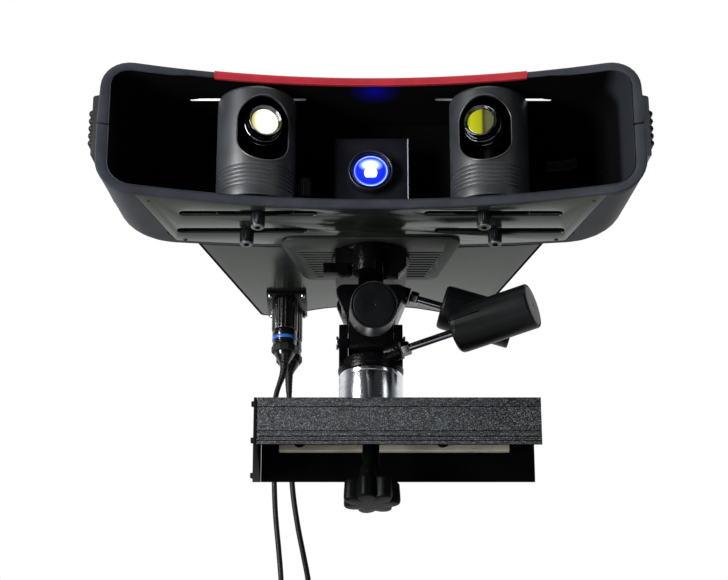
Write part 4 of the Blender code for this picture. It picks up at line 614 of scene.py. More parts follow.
# Each cord's way from its plug down to its coil, in deck() terms
LEFT_ROUTE = (
    (-0.0862, 0.2050, -0.0718), (-0.0863, 0.2050, -0.0765), (-0.0876, 0.2049, -0.0845),
    (-0.0908, 0.2047, -0.0945), (-0.0938, 0.2042, -0.1060), (-0.0954, 0.2038, -0.1250),
    (-0.0956, 0.2034, -0.1550), (-0.0945, 0.2032, -0.1900), (-0.0925, 0.2030, -0.2300),
    (-0.0885, 0.2030, -0.2700), (-0.0862, 0.2030, -0.2960), (-0.0860, 0.2030, -0.3100))
RIGHT_ROUTE = (
    (-0.0822, 0.2310, -0.0718), (-0.0822, 0.2310, -0.0820), (-0.0816, 0.2312, -0.1000),
    (-0.0805, 0.2316, -0.1300), (-0.0792, 0.2320, -0.1650), (-0.0765, 0.2320, -0.2000),
    (-0.0712, 0.2320, -0.2350), (-0.0650, 0.2320, -0.2660), (-0.0606, 0.2320, -0.2900),
    (-0.0600, 0.2320, -0.3100))


def smooth_route(points, step):
    """Points `step` apart on the smooth curve through a route (Catmull-Rom), found by its length."""
    p = np.asarray(points, float)
    p = np.concatenate([[2 * p[0] - p[1]], p, [2 * p[-1] - p[-2]]])
    a, b, c, d = p[:-3, None], p[1:-2, None], p[2:-1, None], p[3:, None]
    t = np.linspace(0, 1, 12, endpoint=False)[None, :, None]
    fine = (2 * b + (c - a) * t + (2 * a - 5 * b + 4 * c - d) * t**2 + (3 * b - a - 3 * c + d) * t**3) / 2
    fine = np.concatenate([fine.reshape(-1, 3), p[-2:-1]])
    along = np.r_[0, np.cumsum(np.linalg.norm(np.diff(fine, axis=0), axis=1))]
    want = np.linspace(0, along[-1], max(2, round(along[-1] / step)) + 1)
    return np.stack([np.interp(want, along, fine[:, k]) for k in range(3)], 1)


def coil_route(start, layer_way, turns=9.25, layers=4, middle=0.0305, entry=0.022, tail=0.030, each=32):
    """A hanging coil: down and round into four layers whose radius runs in and out, and out at the side.

    Angle a = 2 pi turn; x = r sin a, z = r cos a, with r a triangle wave of the turn and y a smooth step
    of one pitch at each change of layer.
    """
    pitch = CORD_DIAMETER * 1.14
    per = turns / layers
    outside = middle + pitch * per / 2
    centre = start + (entry, 0, -CORD_DIAMETER - entry - outside)
    lead = np.radians(np.linspace(0, 90, 9))
    lead = start + np.stack([entry * (1 - np.cos(lead)), 0 * lead, -CORD_DIAMETER - entry * np.sin(lead)], 1)
    turn = turns * np.arange(1, round(turns * each) + 1) / round(turns * each)
    layer = np.minimum(layers - 1, np.floor(turn / per))
    part = turn / per - layer
    radius = outside - pitch * per * np.where(layer % 2 == 0, part, 1 - part)
    near = np.clip((turn[:, None] - np.arange(1, layers) * per) * 2 + 0.5, 0, 1)
    rise = np.sum(near * near * (3 - 2 * near), 1)
    angle = TAU * turn
    wound = centre + np.stack([radius * np.sin(angle), layer_way * pitch * rise, radius * np.cos(angle)], 1)
    drop = np.array([[0, 0, -tail / 2], [0, 0, -tail]]) + wound[-1]
    return np.concatenate([start[None], lead, wound, drop]), centre, wound


def cord_piece(name, points, material, body):
    """A round cord along the points, as a curve of one open spline with flat caps."""
    curve = bpy.data.curves.new(name, "CURVE")
    curve.dimensions, curve.bevel_depth = "3D", CORD_DIAMETER / 2
    curve.bevel_resolution, curve.use_fill_caps = 3, True
    spline = curve.splines.new("POLY")
    spline.points.add(len(points) - 1)
    spline.points.foreach_set("co", np.c_[points, np.ones(len(points))].ravel())
    spline.use_smooth = True
    curve.materials.append(material)
    obj = bpy.data.objects.new(name, curve)
    bpy.context.scene.collection.objects.link(obj)
    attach(obj, body)
    return obj


def coil_tie(name, centre, wound, material):
    """A hook-and-loop strap round the turns at the coil's top: a rounded ring about the cord bundle."""
    near = wound[np.abs(wound[:, 0] - centre[0]) < 0.012]
    near = near[near[:, 2] > centre[2]]
    low, high = near.min(0) - CORD_DIAMETER / 2, near.max(0) + CORD_DIAMETER / 2
    middle = (low + high) / 2
    half_y, half_z = (high[1] - low[1]) / 2 + 0.0012, (high[2] - low[2]) / 2 + 0.0008
    a = np.linspace(0, TAU, 40, endpoint=False)
    round_off = (np.abs(np.cos(a)) ** 4 + np.abs(np.sin(a)) ** 4) ** -0.25
    ring = np.stack([np.cos(a) * round_off, np.sin(a) * round_off], 1)
    rows = [(-0.007, 0.0), (0.007, 0.0), (0.007, 0.0011), (-0.007, 0.0011)]
    grid = np.stack([np.stack([np.full(len(a), middle[0] + x), middle[1] + ring[:, 0] * (half_y + t),
                               middle[2] + ring[:, 1] * (half_z + t)], 1) for x, t in rows])
    shape = grid.reshape(-1, 3), quads(4, len(a), True, True)
    return finish(raw(name, shape), material, "scanner", "cord")


def strain_relief(name, points, material):
    """A boot round the cord's upper end that thins downwards, with soft ribs."""
    along = np.r_[0, np.cumsum(np.linalg.norm(np.diff(points, axis=0), axis=1))]
    want = np.linspace(0.0002, BOOT_LONG, 45)
    path = np.stack([np.interp(want, along, points[:, k]) for k in range(3)], 1)
    share = want / BOOT_LONG
    outer = BOOT_WIDE - BOOT_TAPER * share + 0.00012 * np.sin(share * TAU * 6)
    a = np.arange(20) * TAU / 20
    ring = np.stack([np.cos(a), np.sin(a), 0 * a], 1)
    inner = path[::-1, None] + 0.0029 * ring[None]
    grid = np.concatenate([path[:, None] + outer[:, None, None] * ring[None], inner])
    return finish(raw(name, (grid.reshape(-1, 3), quads(90, 20, True, True))), material, "scanner", "cord")


def make_cords(f):
    for word, route, layer_way, far, far_end in (("left", LEFT_ROUTE, -1, "power_plug", "plug"),
                                                 ("right", RIGHT_ROUTE, 1, "data_plug", "connector")):
        hung = smooth_route([deck(*p) for p in route], 0.006)
        wound, centre, turns = coil_route(hung[-1] - (0, 0, 0.0003), layer_way)
        points = np.concatenate([hung, wound[1:]])
        piece = cord_piece(f"cord_{word}", points, f["jacket"], "scanner")
        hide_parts(f"cable_{word}", f"cable_coil_{word}")
        tie = coil_tie(f"coil_tie_{word}", centre, turns, f["rubber"])
        boot = strain_relief(f"strain_relief_{word}", points, f["jacket"])
        paint(far, f["jacket"])


# Light


def make_light():
    """A white backdrop behind, soft boxes to the left, the right, below and above, and a pale floor."""
    scene = bpy.context.scene
    scene.view_settings.view_transform = "Standard"
    world = bpy.data.worlds.new("studio")
    scene.world = world
    world.use_nodes = True
    tree = world.node_tree
    tree.nodes.clear()
    ray = add(tree, "LightPath")
    way = add(tree, "TexCoord").outputs["Generated"]
    back = add(tree, "SeparateXYZ", {"Vector": way}).outputs["Y"]
    share = add(tree, "MapRange", {"Value": back, "From Min": -1.0, "From Max": 1.0}).outputs["Result"]
    studio = ramp(tree, share, (0.0, "#262729"), (0.40, "#3b3d40"), (0.56, "#9a9b9c"), (0.68, "#ffffff"))
    soft_fill = add(tree, "Background", {"Color": (1, 1, 1, 1), "Strength": 0.26})
    mirror = add(tree, "Background", {"Color": studio, "Strength": 1.0})
    white = add(tree, "Background", {"Color": (1, 1, 1, 1), "Strength": 1.0})
    first = add(tree, "MixShader", {0: ray.outputs["Is Glossy Ray"], 1: soft_fill.outputs[0],
                                    2: mirror.outputs[0]})
    seen = add(tree, "Math", {0: ray.outputs["Is Camera Ray"], 1: ray.outputs["Is Transmission Ray"]},
               operation="MAXIMUM")
    last = add(tree, "MixShader", {0: seen.outputs[0], 1: first.outputs[0], 2: white.outputs[0]})
    out = add(tree, "OutputWorld", {"Surface": last.outputs[0]})
    out.is_active_output = True

    for name, place, aim, size, power in (
            ("left_box", (-1.05, -0.90, 0.10), (0, 0, 0.15), (0.35, 1.2), 52),
            ("right_box", (1.6, -1.3, 0.35), (0, 0, 0.15), (0.4, 1.4), 3.5),
            ("low_box", (-0.3, -1.2, -1.0), (0, -0.1, 0.2), (1.4, 0.4), 4),
            ("top_box", (0, -0.4, 1.9), (0, 0, 0.1), (1.6, 1.0), 22)):
        data = bpy.data.lights.new(name, "AREA")
        data.shape, data.size, data.size_y, data.energy = "RECTANGLE", *size, power
        lamp = bpy.data.objects.new(name, data)
        lamp.location = place
        lamp.rotation_euler = (Vector(place) - Vector(aim)).to_track_quat("Z", "Y").to_euler()
        scene.collection.objects.link(lamp)

    # Matt studio floor paint, seen as nearly white; it keeps the object's shadow.
    floor, tree, shader = surface("pale_floor_paint", 0.8)
    where = add(tree, "TexCoord").outputs["Object"]
    cloud = add(tree, "TexNoise", {"Vector": where, "Scale": 3.0}).outputs["Fac"]
    tree.links.new(ramp(tree, cloud, (0.3, "#e6e6e4"), (0.7, "#ececea")), shader.inputs["Base Color"])
    ray = add(tree, "LightPath").outputs
    seen = add(tree, "Math", {0: ray["Is Camera Ray"], 1: ray["Is Transmission Ray"]}, operation="MAXIMUM")
    seen = add(tree, "Math", {0: seen.outputs[0], 1: ray["Is Glossy Ray"]}, operation="MAXIMUM")
    share = add(tree, "Math", {0: seen.outputs[0], 1: 0.7}, operation="MULTIPLY")
    glow = add(tree, "Emission", {"Color": (1, 1, 1, 1), "Strength": 1.0})
    both = add(tree, "MixShader", {0: share.outputs[0], 1: shader.outputs[0], 2: glow.outputs[0]})
    tree.links.new(both.outputs[0], tree.nodes["Material Output"].inputs["Surface"])
    ground = raw("floor", slab_shape([(-1.7, -1.7), (1.7, -1.7), (1.7, 1.7), (-1.7, 1.7)], -1.42, -1.4))
    ground.data.materials.append(floor)


# The hood


def front_y(x):
    """The hollow front line in plan: an arc of 797 mm through the front centre."""
    return FRONT_Y - (FRONT_ARC - np.sqrt(FRONT_ARC ** 2 - x * x))


def rear_y(x):
    """The hood's rear line in plan, a flatter arc behind the same centre."""
    return FRONT_Y + HOOD_DEEP - (REAR_ARC - np.sqrt(REAR_ARC ** 2 - x * x))


def hood_half(share):
    """Half the hood's width at a share of its depth: a straight taper, then a quarter round at the back."""
    late = np.clip((share - REAR_CORNER_SHARE) / (1 - REAR_CORNER_SHARE), 0, 1)
    return HOOD_HALF - HOOD_TAPER * share - HOOD_REAR_CORNER * (1 - np.sqrt(1 - late * late))


def hood_path(half, low, high, corner, split, upper, notch=0.0):
    """Half a rounded section as (x, z): over the top or under the bottom, between the parting lines.

    At the line its last point steps in by the notch, so that the two halves meet in a groove.
    """
    a = np.linspace(0, math.pi / 2, 9)
    flat = np.linspace(0, half - corner, 14)[:-1]
    edge, sign = (high, 1) if upper else (low, -1)
    start = edge - sign * corner
    bend = np.stack([half - corner + corner * np.sin(a), start + sign * corner * np.cos(a)], 1)
    top = np.stack([flat, np.full(len(flat), edge)], 1)
    side = np.linspace((half, start), (half, split + sign * PARTING_HALF), 4)[1:]
    right = np.concatenate([top, bend, side, [(half - notch, split)]])[::-1]
    return np.concatenate([right, right[:-1][::-1] * (-1, 1)])


def casing_shape(upper, split):
    """Half the hood, top or bottom: outer sections from the back to the lip, round it, and inner ones back.

    Section points are (x, front(x) + share (rear(x) - front(x)), z). The lip runs from the outer to the
    inner section on a rounded profile. Two curtains close the back down to the parting plane. The outer
    walls lean in towards the top, and the ceiling drops a little near its corners.
    """
    shares = np.r_[1 - np.linspace(0, 1, 9) ** 1.6 * (1 - REAR_CORNER_SHARE),
                   np.linspace(REAR_CORNER_SHARE, 0, 10)[1:]]

    def section(share, inner):
        half = hood_half(share)
        path = (hood_path(half - RIM_SIDE, BAY_FLOOR, CEILING, RIM_CORNER, split, upper) if inner
                else hood_path(half, 0, HOOD_TALL, HOOD_CORNER, split, upper, PARTING_DEEP))
        rise = np.clip((path[:, 1] - split) / (HOOD_TALL - split), 0, 1)
        if inner:
            near = np.clip((np.abs(path[:, 0]) - CORNER_FROM) / CORNER_RUN, 0, 1)
            path[:, 1] -= CORNER_DROP * rise * near
        else:
            path[:, 0] *= 1 - LEAN / half * rise
        start = front_y(path[:, 0])
        y = start + share * (rear_y(path[:, 0]) - (BACK_WALL if inner else 0) - start)
        return np.stack([path[:, 0], y, DECK_Z + path[:, 1]], 1)

    outer = [section(s, False) for s in shares]
    inner = [section(s, True) for s in shares[::-1]]
    outside, inside = outer[-1], inner[0]
    lip = [outside * (1 - w) + inside * w + (0, y, 0) for w, y in LIP_ROUND]
    down = [np.c_[row[:, :2], np.full(len(row), DECK_Z + split)] for row in (outer[0], inner[-1])]
    grid = np.stack([down[0], *outer, *lip, *inner, down[1]])
    grid[len(outer):len(outer) + len(lip), :, 1] += LIP_FULL
    grid[len(outer) - 1:len(outer) + len(lip) + 1, [0, -1], 1] += PARTING_DEEP
    m, n = grid.shape[:2]
    faces = quads(m, n, wrap_rows=True)
    near, far = np.arange(m // 2 - 1), m - 1 - np.arange(m // 2 - 1)
    for c in (0, n - 1):
        faces += np.stack([near * n + c, (near + 1) * n + c, (far - 1) * n + c, far * n + c], 1).tolist()
    return grid.reshape(-1, 3), faces


def plan_outline(half_front, half_rear, start, end, steps=40):
    """A plate's outline in plan between the hood's front line and its rear line."""
    front = np.linspace(-half_front, half_front, steps)
    rear = np.linspace(half_rear, -half_rear, steps)
    near, far = np.stack([front, front_y(front) + start], 1), np.stack([rear, rear_y(rear) + end], 1)
    return np.concatenate([near, far])


def red_plan(grow, front, back):
    """The red panel's outline in plan, from `front` to `back` behind the hood's front line."""
    xs = np.linspace(-RED_HALF - grow, RED_HALF + grow, 40)
    near, far = (np.stack([xs, front_y(xs) + y], 1) for y in (front, back))
    return np.concatenate([near, far[::-1]])


def make_hood(f):
    """The two casings with the bay between them, the red panel, and the deck with its slots and screws."""
    upper = raw("upper_hood", casing_shape(True, PARTING + PARTING_FIT))
    guides = [deck_slab(stadium(s * 0.1195, FRONT_Y + 0.030, 0.0615, 0.0026), 0.12, 0.1330) for s in (-1, 1)]
    carved(upper, deck_slab(red_plan(FIT, -0.006, RED_DEEP + FIT), 0.1334, 0.15),
           deck_slab(red_plan(FIT, -0.006, LIP_DEEP + FIT), 0.126, 0.15), *guides)
    lower = raw("lower_hood", casing_shape(False, PARTING - PARTING_FIT))
    windows = [box_shape(deck(s * 0.045, 0.0046, -0.01), deck(s * 0.194, 0.0554, 0.02)) for s in (-1, 1)]
    carved(lower, deck_slab(plan_outline(0.2193, 0.1873, PLATE_FRONT - FIT, -0.0037), -0.01,
                            PLATE_THICK + FIT), *windows)
    for obj, node in ((upper, "upper_casing"), (lower, "lower_casing")):
        finish(obj, [f["casing"], f["ceiling"]], "scanner", "casing", node, crease=30)
        # The inner faces take the near-black ceiling finish: painted shade in the bay, with painted light.
        sorted_faces(obj, in_the_bay)

    panel = raw("red_panel", deck_slab(red_plan(0, -0.0005, RED_DEEP), RED_LOW, RED_HIGH, 0.0010))
    carved(panel, deck_slab(red_plan(0, -0.0005, LIP_DEEP), CEILING, RED_HIGH, 0.0010), how="UNION")
    finish(panel, f["red"], "scanner", "red", "red_top_panel", crease=50)

    plate = raw("deck_plate", deck_slab(plan_outline(0.219, 0.187, PLATE_FRONT, -0.004), 0, PLATE_THICK))
    carved(plate, *[deck_slab(stadium(s * x, FRONT_Y + y, half, 0.005), -0.01, 0.01)
                    for s in (-1, 1) for x, y, half in DECK_SLOTS])
    finish(rounded(plate, 0.0006), f["sheet"], "scanner", "deck", "bottom_plate")
    for side, hand in SIDES:
        for word, x, back in DECK_SCREWS:
            screw = placed(screw_head(0.0021, 0.0009, 0.0009), facing(deck(side * x, back, 0.0003), DOWN))
            finish(raw(f"deck_screw_{word}_{hand}", screw), f["anodised"], "scanner", "black_metal")


def in_the_bay(c, n):
    """The inner faces of a casing: set in from the outer skin, from the lip and from the parting line."""
    depth = c[:, 1] - front_y(c[:, 0])
    share = np.clip(depth / (rear_y(c[:, 0]) - front_y(c[:, 0])), 0, 1)
    rise = c[:, 2] - DECK_Z
    inside = (depth > 0.0022) & (np.abs(c[:, 0]) < hood_half(share) - 0.009)
    return inside & (rise > 0.0070) & (rise < 0.1331) & (share < 0.97)


def along_wall(side, section, back, swell, slant=0.0):
    """A section of (out, z) carried back along the hood's wall as a closed bar.

    x = wall(back) + swell * out, where the wall draws in by 18 mm over the hood's depth and the outer face
    by 4 mm less; y = front + back, and the first row also leans back by slant * out.
    """
    back, swell = np.asarray(back, float), np.asarray(swell, float)
    wall = 0.2557 - HOOD_TAPER * (back + 0.0402) / 0.1073
    fuller = np.interp(back, [-0.027, 0.076], [0.0, 0.0040])
    out = section[None, :, 0] * swell[:, None]
    y = FRONT_Y + back[:, None] + 0 * out
    y[0] += slant * out[0]
    x = wall[:, None] + out + np.clip(section[None, :, 0] / 0.0085, 0, 1) * fuller[:, None]
    grid = np.stack([side * x, y, np.broadcast_to(DECK_Z + section[None, :, 1], x.shape)], -1)
    return grid.reshape(-1, 3), capped(*x.shape)


def make_side_grips(f):
    """The side pads: a plate with soft corners along the wall, and five half-round ribs with domed ends."""
    plate = soft([(-0.003, 0.0415), (0.0085, 0.0415), (0.0085, 0.1055), (-0.003, 0.1055)], 0.0022, 4)
    bump = np.radians(np.linspace(-90, 90, 13))
    for side, word in SIDES:
        base = raw(f"side_pad_{word}", along_wall(side, plate, [-0.0275, -0.0235, 0.025, 0.0735, 0.0760],
                                                  [0.97, 1, 1, 1, 0.8], 0.40))
        # The right pad takes a paler copy of the rubber as painted light.
        key = "right_pad_painted_light" if side > 0 else "rubber"
        finish(base, f[key], "scanner", "grip", f"side_grip_{word}", crease=30)
        bars = []
        for middle in RIB_MIDDLE + RIB_PITCH * (np.arange(5) - 2):
            ring = np.stack([RIB_ROOT + RIB_OUT * np.cos(bump), middle + RIB_HALF * np.sin(bump)], 1)
            bars.append(along_wall(side, np.concatenate([ring, [(0.0070, middle)]]),
                                   [-0.0225, -0.0222, -0.0212, -0.0190, 0.025, 0.0700, 0.0722, 0.0732,
                                    0.0735],
                                   [0.66, 0.82, 0.94, 1, 1, 1, 0.94, 0.82, 0.66]))
        finish(raw(f"pad_ribs_{word}", joined(*bars)), f["rubber"], "scanner", "grip", crease=40)


def make_bay_fittings(f):
    """What else shows in the hood: ceiling guide strips, a step on the back wall, a knurled adjuster."""
    for side, word in SIDES:
        strip = deck_slab(stadium(side * 0.1185, FRONT_Y + 0.0285, 0.0562, 0.0021), 0.1309, 0.1329, 0.0004)
        # Each strip glows with painted light.
        finish(raw(f"guide_strip_{word}", strip), f["guide"], "scanner", "aluminium")
    step = np.array([(0.167, 0.0748), (0.2005, 0.0700), (0.2005, 0.0610), (0.190, 0.0662), (0.180, 0.0690),
                     (0.171, 0.0694)]) + (0, FRONT_Y)
    shelf = deck_slab(soft(step, 0.001, closed=True), 0.0745, 0.086, 0.0015)
    finish(raw("cable_shelf", shelf), f["housing"], "scanner", "casing")
    wheel = soft([(0, 0), (0.0058, 0), (0.0063, 0.001), (0.0063, 0.018), (0.0050, 0.021), (0, 0.021)],
                 0.0015, 4)
    ripple = np.where((wheel[:, 0] > 0.0056), 0.0004, 0.0)
    turned("trim_adjuster", np.c_[wheel, ripple], 132, facing(deck(-0.0645, 0.0752, 0.048)), f["turret"],
           "scanner", "black_plastic", waves=18)


# Turrets, lenses and their clamps


def toed(side, degrees):
    """The direction forwards and in to the middle by an angle."""
    turn = math.radians(degrees)
    return np.array([-side * math.sin(turn), -math.cos(turn), 0.0])


def turret_profile():
    """Down the outside: pin, domed shoulder, wall with six soft V grooves, foot and pivot."""
    rows = [(0, TURRET_HIGH + 0.0046), (0.0020, TURRET_HIGH + 0.0046), (0.0020, TURRET_HIGH),
            (TURRET_RADIUS - 0.003, TURRET_HIGH), (TURRET_RADIUS - 0.0009, TURRET_HIGH - 0.0009),
            (TURRET_RADIUS, TURRET_HIGH - 0.003)]
    reach = [0, 0.0003, 0.0003, 0.001, 0.001, 0.001]
    for rise in GROOVE_LOW + GROOVE_PITCH * np.arange(GROOVES)[::-1]:
        rows += [(TURRET_RADIUS, rise + 0.0009), (TURRET_RADIUS - 0.0010, rise),
                 (TURRET_RADIUS, rise - 0.0009)]
        reach += [0.0004, 0.0003, 0.0004]
    rows += [(TURRET_RADIUS, TURRET_LOW + 0.001), (TURRET_RADIUS - 0.001, TURRET_LOW), (0.006, TURRET_LOW),
             (0.006, TURRET_LOW - 0.0048), (0, TURRET_LOW - 0.0048)]
    return soft(rows, reach + [0.0005, 0.0005, 0.0003, 0.0003, 0], 3)


def window_path(radius, way, axis, grow=0.0):
    """The window's edge on a cylinder: the round-ended outline (u, v) at depth sqrt(radius^2 - u^2)."""
    half = WINDOW_HALF + grow
    low, high = WINDOW_LOW + WINDOW_HALF, WINDOW_HIGH - WINDOW_HALF
    uv = np.concatenate([arc(0, high, half, 0, 180, 36), arc(0, low, half, 180, 360, 36)])
    across = np.cross(UP, way)
    deep = np.sqrt(radius ** 2 - uv[:, :1] ** 2)
    return axis + deep * way + uv[:, :1] * across + uv[:, 1:] * UP, uv


def make_turret(f, word, side):
    """One turret with its window, bead, lens, focus ring and filter, and the two nuts that clamp it."""
    axis = deck(TURRET_SIDE[word], TURRET_BACK, 0)
    way = toed(side, WINDOW_TOE[word])
    body = f"turret_{word}"
    shell = raw(f"turret_shell_{word}", placed(turned_shape(turret_profile(), 144), facing(axis)))
    inner, low, high = TURRET_RADIUS - TURRET_WALL, TURRET_LOW + TURRET_WALL, TURRET_HIGH - TURRET_WALL
    hollow = turned_shape(np.array([(0, low), (inner, low), (inner, high), (0, high)]), 96)
    _, uv = window_path(TURRET_RADIUS, way, axis)
    turn, _ = facing(axis, way)
    flip = 1 if turn[:, 0] @ np.cross(UP, way) > 0 else -1
    window = placed(slab_shape(uv * (flip, 1), 0, TURRET_RADIUS + 0.005), (turn, axis))
    carved(shell, placed(hollow, facing(axis)), window)
    finish(shell, [f["turret"], f["bay"]], body, "turret", body, crease=32)
    # The shell's inner faces take the near-black matt: painted shade inside the turret.
    sorted_faces(shell, lambda c, n: (np.hypot(*(c - axis)[:, :2].T) < TURRET_RADIUS - 0.0022)
                 & (c[:, 2] < DECK_Z + TURRET_HIGH - 0.0005))
    edge, uv = window_path(TURRET_RADIUS + 0.0001, way, axis)
    out = (edge - axis) * (1, 1, 0)
    out /= np.linalg.norm(out, axis=1, keepdims=True)
    bead = carried_shape(ring_profile(0.0007), edge, out, closed=True)
    finish(raw(f"window_bead_{word}", bead), f["turret"], body, "turret")

    where = facing(axis + (0, 0, LENS_RISE), toed(side, LENS_TOE))
    barrel = soft([(0, 0.0128), (LENS_RADIUS, 0.0128), (LENS_RADIUS, 0.0355), (0.0158, LENS_FRONT),
                   (0.0154, LENS_FRONT), (0.0150, 0.0354), (0.0148, 0.0348), (0.0144, 0.0346),
                   (0.0144, 0.0338), (0.0140, 0.0336), (0.0140, 0.0326), (0.0137, 0.0324),
                   (0.0135, LENS_SEAT), (0, LENS_SEAT)], 0.0003, 2)
    turned(f"lens_tube_{word}", barrel, 96, where, f["rim"], body, "black_metal", f"lens_barrel_{word}",
           crease=50)
    knurl = soft([(0.0168, 0.0155), (0.0184, 0.0155), (0.0186, 0.0160), (0.0186, 0.0186), (0.0181, 0.0189),
                  (0.0181, 0.0196), (0.0186, 0.0199), (0.0186, 0.0258), (0.0180, 0.0265),
                  (0.0168, 0.0265)], 0.0002, 2)
    ripple = np.where((knurl[:, 1] > 0.0200) & (knurl[:, 1] < 0.0257) & (knurl[:, 0] > 0.018), 0.00025, 0)
    ring = f"focus_ring_{word}"
    turned(ring + "_body", np.c_[knurl, ripple], 240, where, f["rim"], ring, "black_metal", ring, waves=48,
           closed=True, crease=40)
    seat = LENS_SEAT + 0.0003
    disc = soft([(0, seat), (0.0131, seat), (0.0131, seat + 0.0008), (0.0127, seat + 0.0012),
                 (0.008, seat + 0.00135), (0, seat + 0.0014)], 0.0003, 2)
    turned(f"filter_{word}", disc, 64, where, f[f"glass_{word}"], body, "cream_glass",
           f"filter_glass_{word}", crease=50)

    for place, shift in (("front", -1), ("rear", 1)):
        stud = deck(side * (STUD_SIDE + STUD_STEP * shift), TURRET_BACK + STUD_BACK * shift, 0)
        make_thumb_nut(f, f"thumb_nut_{word}_{place}", f"nut_{word}_{place}", stud)


def make_thumb_nut(f, node, body, stud):
    """A fluted nut with chamfered ends and a pale turned end face round its bore."""
    wall = soft([(0.0027, -0.0003), (0.0058, -0.0003), (0.0065, -0.0011), (0.0065, -0.0138),
                 (0.0056, -0.0150), (0.0041, -0.0153), (0.0027, -0.0148)], 0.0003, 2)
    ripple = np.where((wall[:, 0] > 0.0062) & (wall[:, 1] > -0.0132), 0.0004, 0)
    nut = turned(node + "_body", np.c_[wall, ripple], 120, facing(stud), [f["anodised"], f["turned_end"]],
                 body, "black_metal", node, waves=20, closed=True, crease=40)
    sorted_faces(nut, lambda c, n: c[:, 2] < stud[2] - 0.0140)


# Projector


def make_projector(f):
    """The housing with a painted highlight down its corner, the tube, the focus ring and the lit lens."""
    where = facing(deck(0, 0, PROJECTOR_RISE), (0, -1, 0))
    front = -PROJECTOR_FRONT
    redrawn("projector_housing", f["housing"], "scanner", "casing", width=0.0012, segments=3, crease=40)
    barrel = soft([(0, front - 0.0368), (0.0190, front - 0.0368), (0.0190, front - 0.0010),
                   (0.0185, front), (0.0180, front), (0.0178, front - 0.0008), (0.0176, front - 0.0070),
                   (0, front - 0.0070)], 0.0003, 2)
    turned("light_engine_tube", barrel, 96, where, f["anodised"], "scanner", "black_metal",
           "projector_barrel", crease=50)
    ring = soft([(0.0197, front - 0.0072), (0.0214, front - 0.0074), (0.0218, front - 0.0066),
                 (0.0218, front - 0.0010), (0.0212, front - 0.0001), (0.0204, front + 0.0001),
                 (0.0197, front - 0.0003)], 0.0003, 2)
    ripple = np.where((ring[:, 0] > 0.0216) & (ring[:, 1] < front - 0.0012), 0.0003, 0)
    turned("projector_ring_body", np.c_[ring, ripple], 240, where, f["navy"], "projector_ring",
           "black_metal", "projector_focus_ring", waves=60, closed=True, crease=40)
    # A pale bead down the housing's corner: a painted highlight.
    low, high = (np.array(corner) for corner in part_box("projector_housing"))
    heights = np.linspace(low[2] + 0.001, high[2] - 0.002, 5)
    line = np.array([(high[0] - 0.0004, low[1] + 0.0004, z) for z in heights])
    bead = carried_shape(ring_profile(0.0006), line, np.tile((0, -1.0, 0), (5, 1)))
    finish(raw("housing_corner_painted_highlight", bead), f["corner"], "scanner", "casing")
    seat = front - 0.0067
    rim = PROJECTOR_RADIUS
    dome = [(rim * s, seat + 0.003 + 0.0025 * (1 - s * s)) for s in np.linspace(1, 0, 10)[1:]]
    lens = np.array([(0, seat), (rim, seat), (rim, seat + 0.003)] + dome)
    turned("projector_lens", lens, 72, where, f["projector"], "scanner", "blue_glass", "projector_glass",
           crease=60)


# Rear housing, vent and connectors


def body_plan(inset=0.0, front_inset=None):
    """The rear housing in plan: straight tapered sides, soft corners and a hollow in its rear edge."""
    front_inset = inset if front_inset is None else front_inset
    front = np.linspace(-BODY_FRONT + inset, BODY_FRONT - inset, 24)
    rear = np.r_[BODY_CORNER - inset, np.linspace(BODY_REAR, -BODY_REAR, 40), -BODY_CORNER + inset]
    share = np.clip((np.abs(rear) - NOTCH_FLAT) / (BODY_REAR - NOTCH_FLAT), 0, 1)
    notch = BODY_NOTCH * (1 - share * share * (3 - 2 * share))
    front = np.stack([front, rear_y(front) + 0.0003 + front_inset], 1)
    rear = np.stack([rear, FRONT_Y + BODY_DEEP - inset - notch], 1)
    points = np.concatenate([front, rear])
    reach = np.zeros(len(points))
    reach[len(front)] = reach[-1] = 0.0055
    return soft(points, reach, 5, closed=True)


def make_rear(f):
    """The rear housing, hollow, with a seam round it, louvres on top, a dark band round its foot as a
    painted shadow line, four screws and the vent.
    """
    shell = raw("rear_shell", deck_slab(body_plan(), 0, BODY_TALL, 0.0025, 4))
    # A near-black band round the housing's foot: a painted shadow line along its lower edge.
    shadow_line = deck_slab(body_plan(-0.0013, 0.0004), 0.0003, 0.0026, 0.0005)
    finish(raw("painted_shadow_line_under_cover", shadow_line), f["bay"], "scanner", "black_plastic")
    groove = carved(raw("seam", deck_slab(body_plan(-0.002), SEAM_LOW, SEAM_HIGH)),
                    deck_slab(body_plan(0.0008), 0.060, 0.064))
    step = shell.modifiers.new("hollow", "BOOLEAN")
    step.operation, step.solver, step.object = "DIFFERENCE", "EXACT", groove
    applied(shell)
    bpy.data.objects.remove(groove)
    carved(shell, deck_slab(body_plan(BODY_WALL), BODY_WALL, BODY_TALL - BODY_WALL))
    carved(shell, *[deck_slab(stadium(0, FRONT_Y + back, 0.030, 0.0014), 0.09, 0.11)
                    for back in np.arange(0.150, 0.190, 0.0062)])
    finish(shell, f["sheet"], "scanner", "deck", "rear_housing", crease=30)
    for i, (x, back) in enumerate(((-0.132, 0.100), (0.132, 0.100), (-0.098, 0.228), (0.098, 0.228))):
        screw = placed(screw_head(0.0028, 0.0012, 0.0013), facing(deck(x, back, 0.0999)))
        finish(raw(f"cover_screw_{i}", screw), f["anodised"], "scanner", "black_metal")
    redrawn("vent_panel", f["vent"], "scanner", "black_plastic", width=0.0004, segments=2, crease=30)


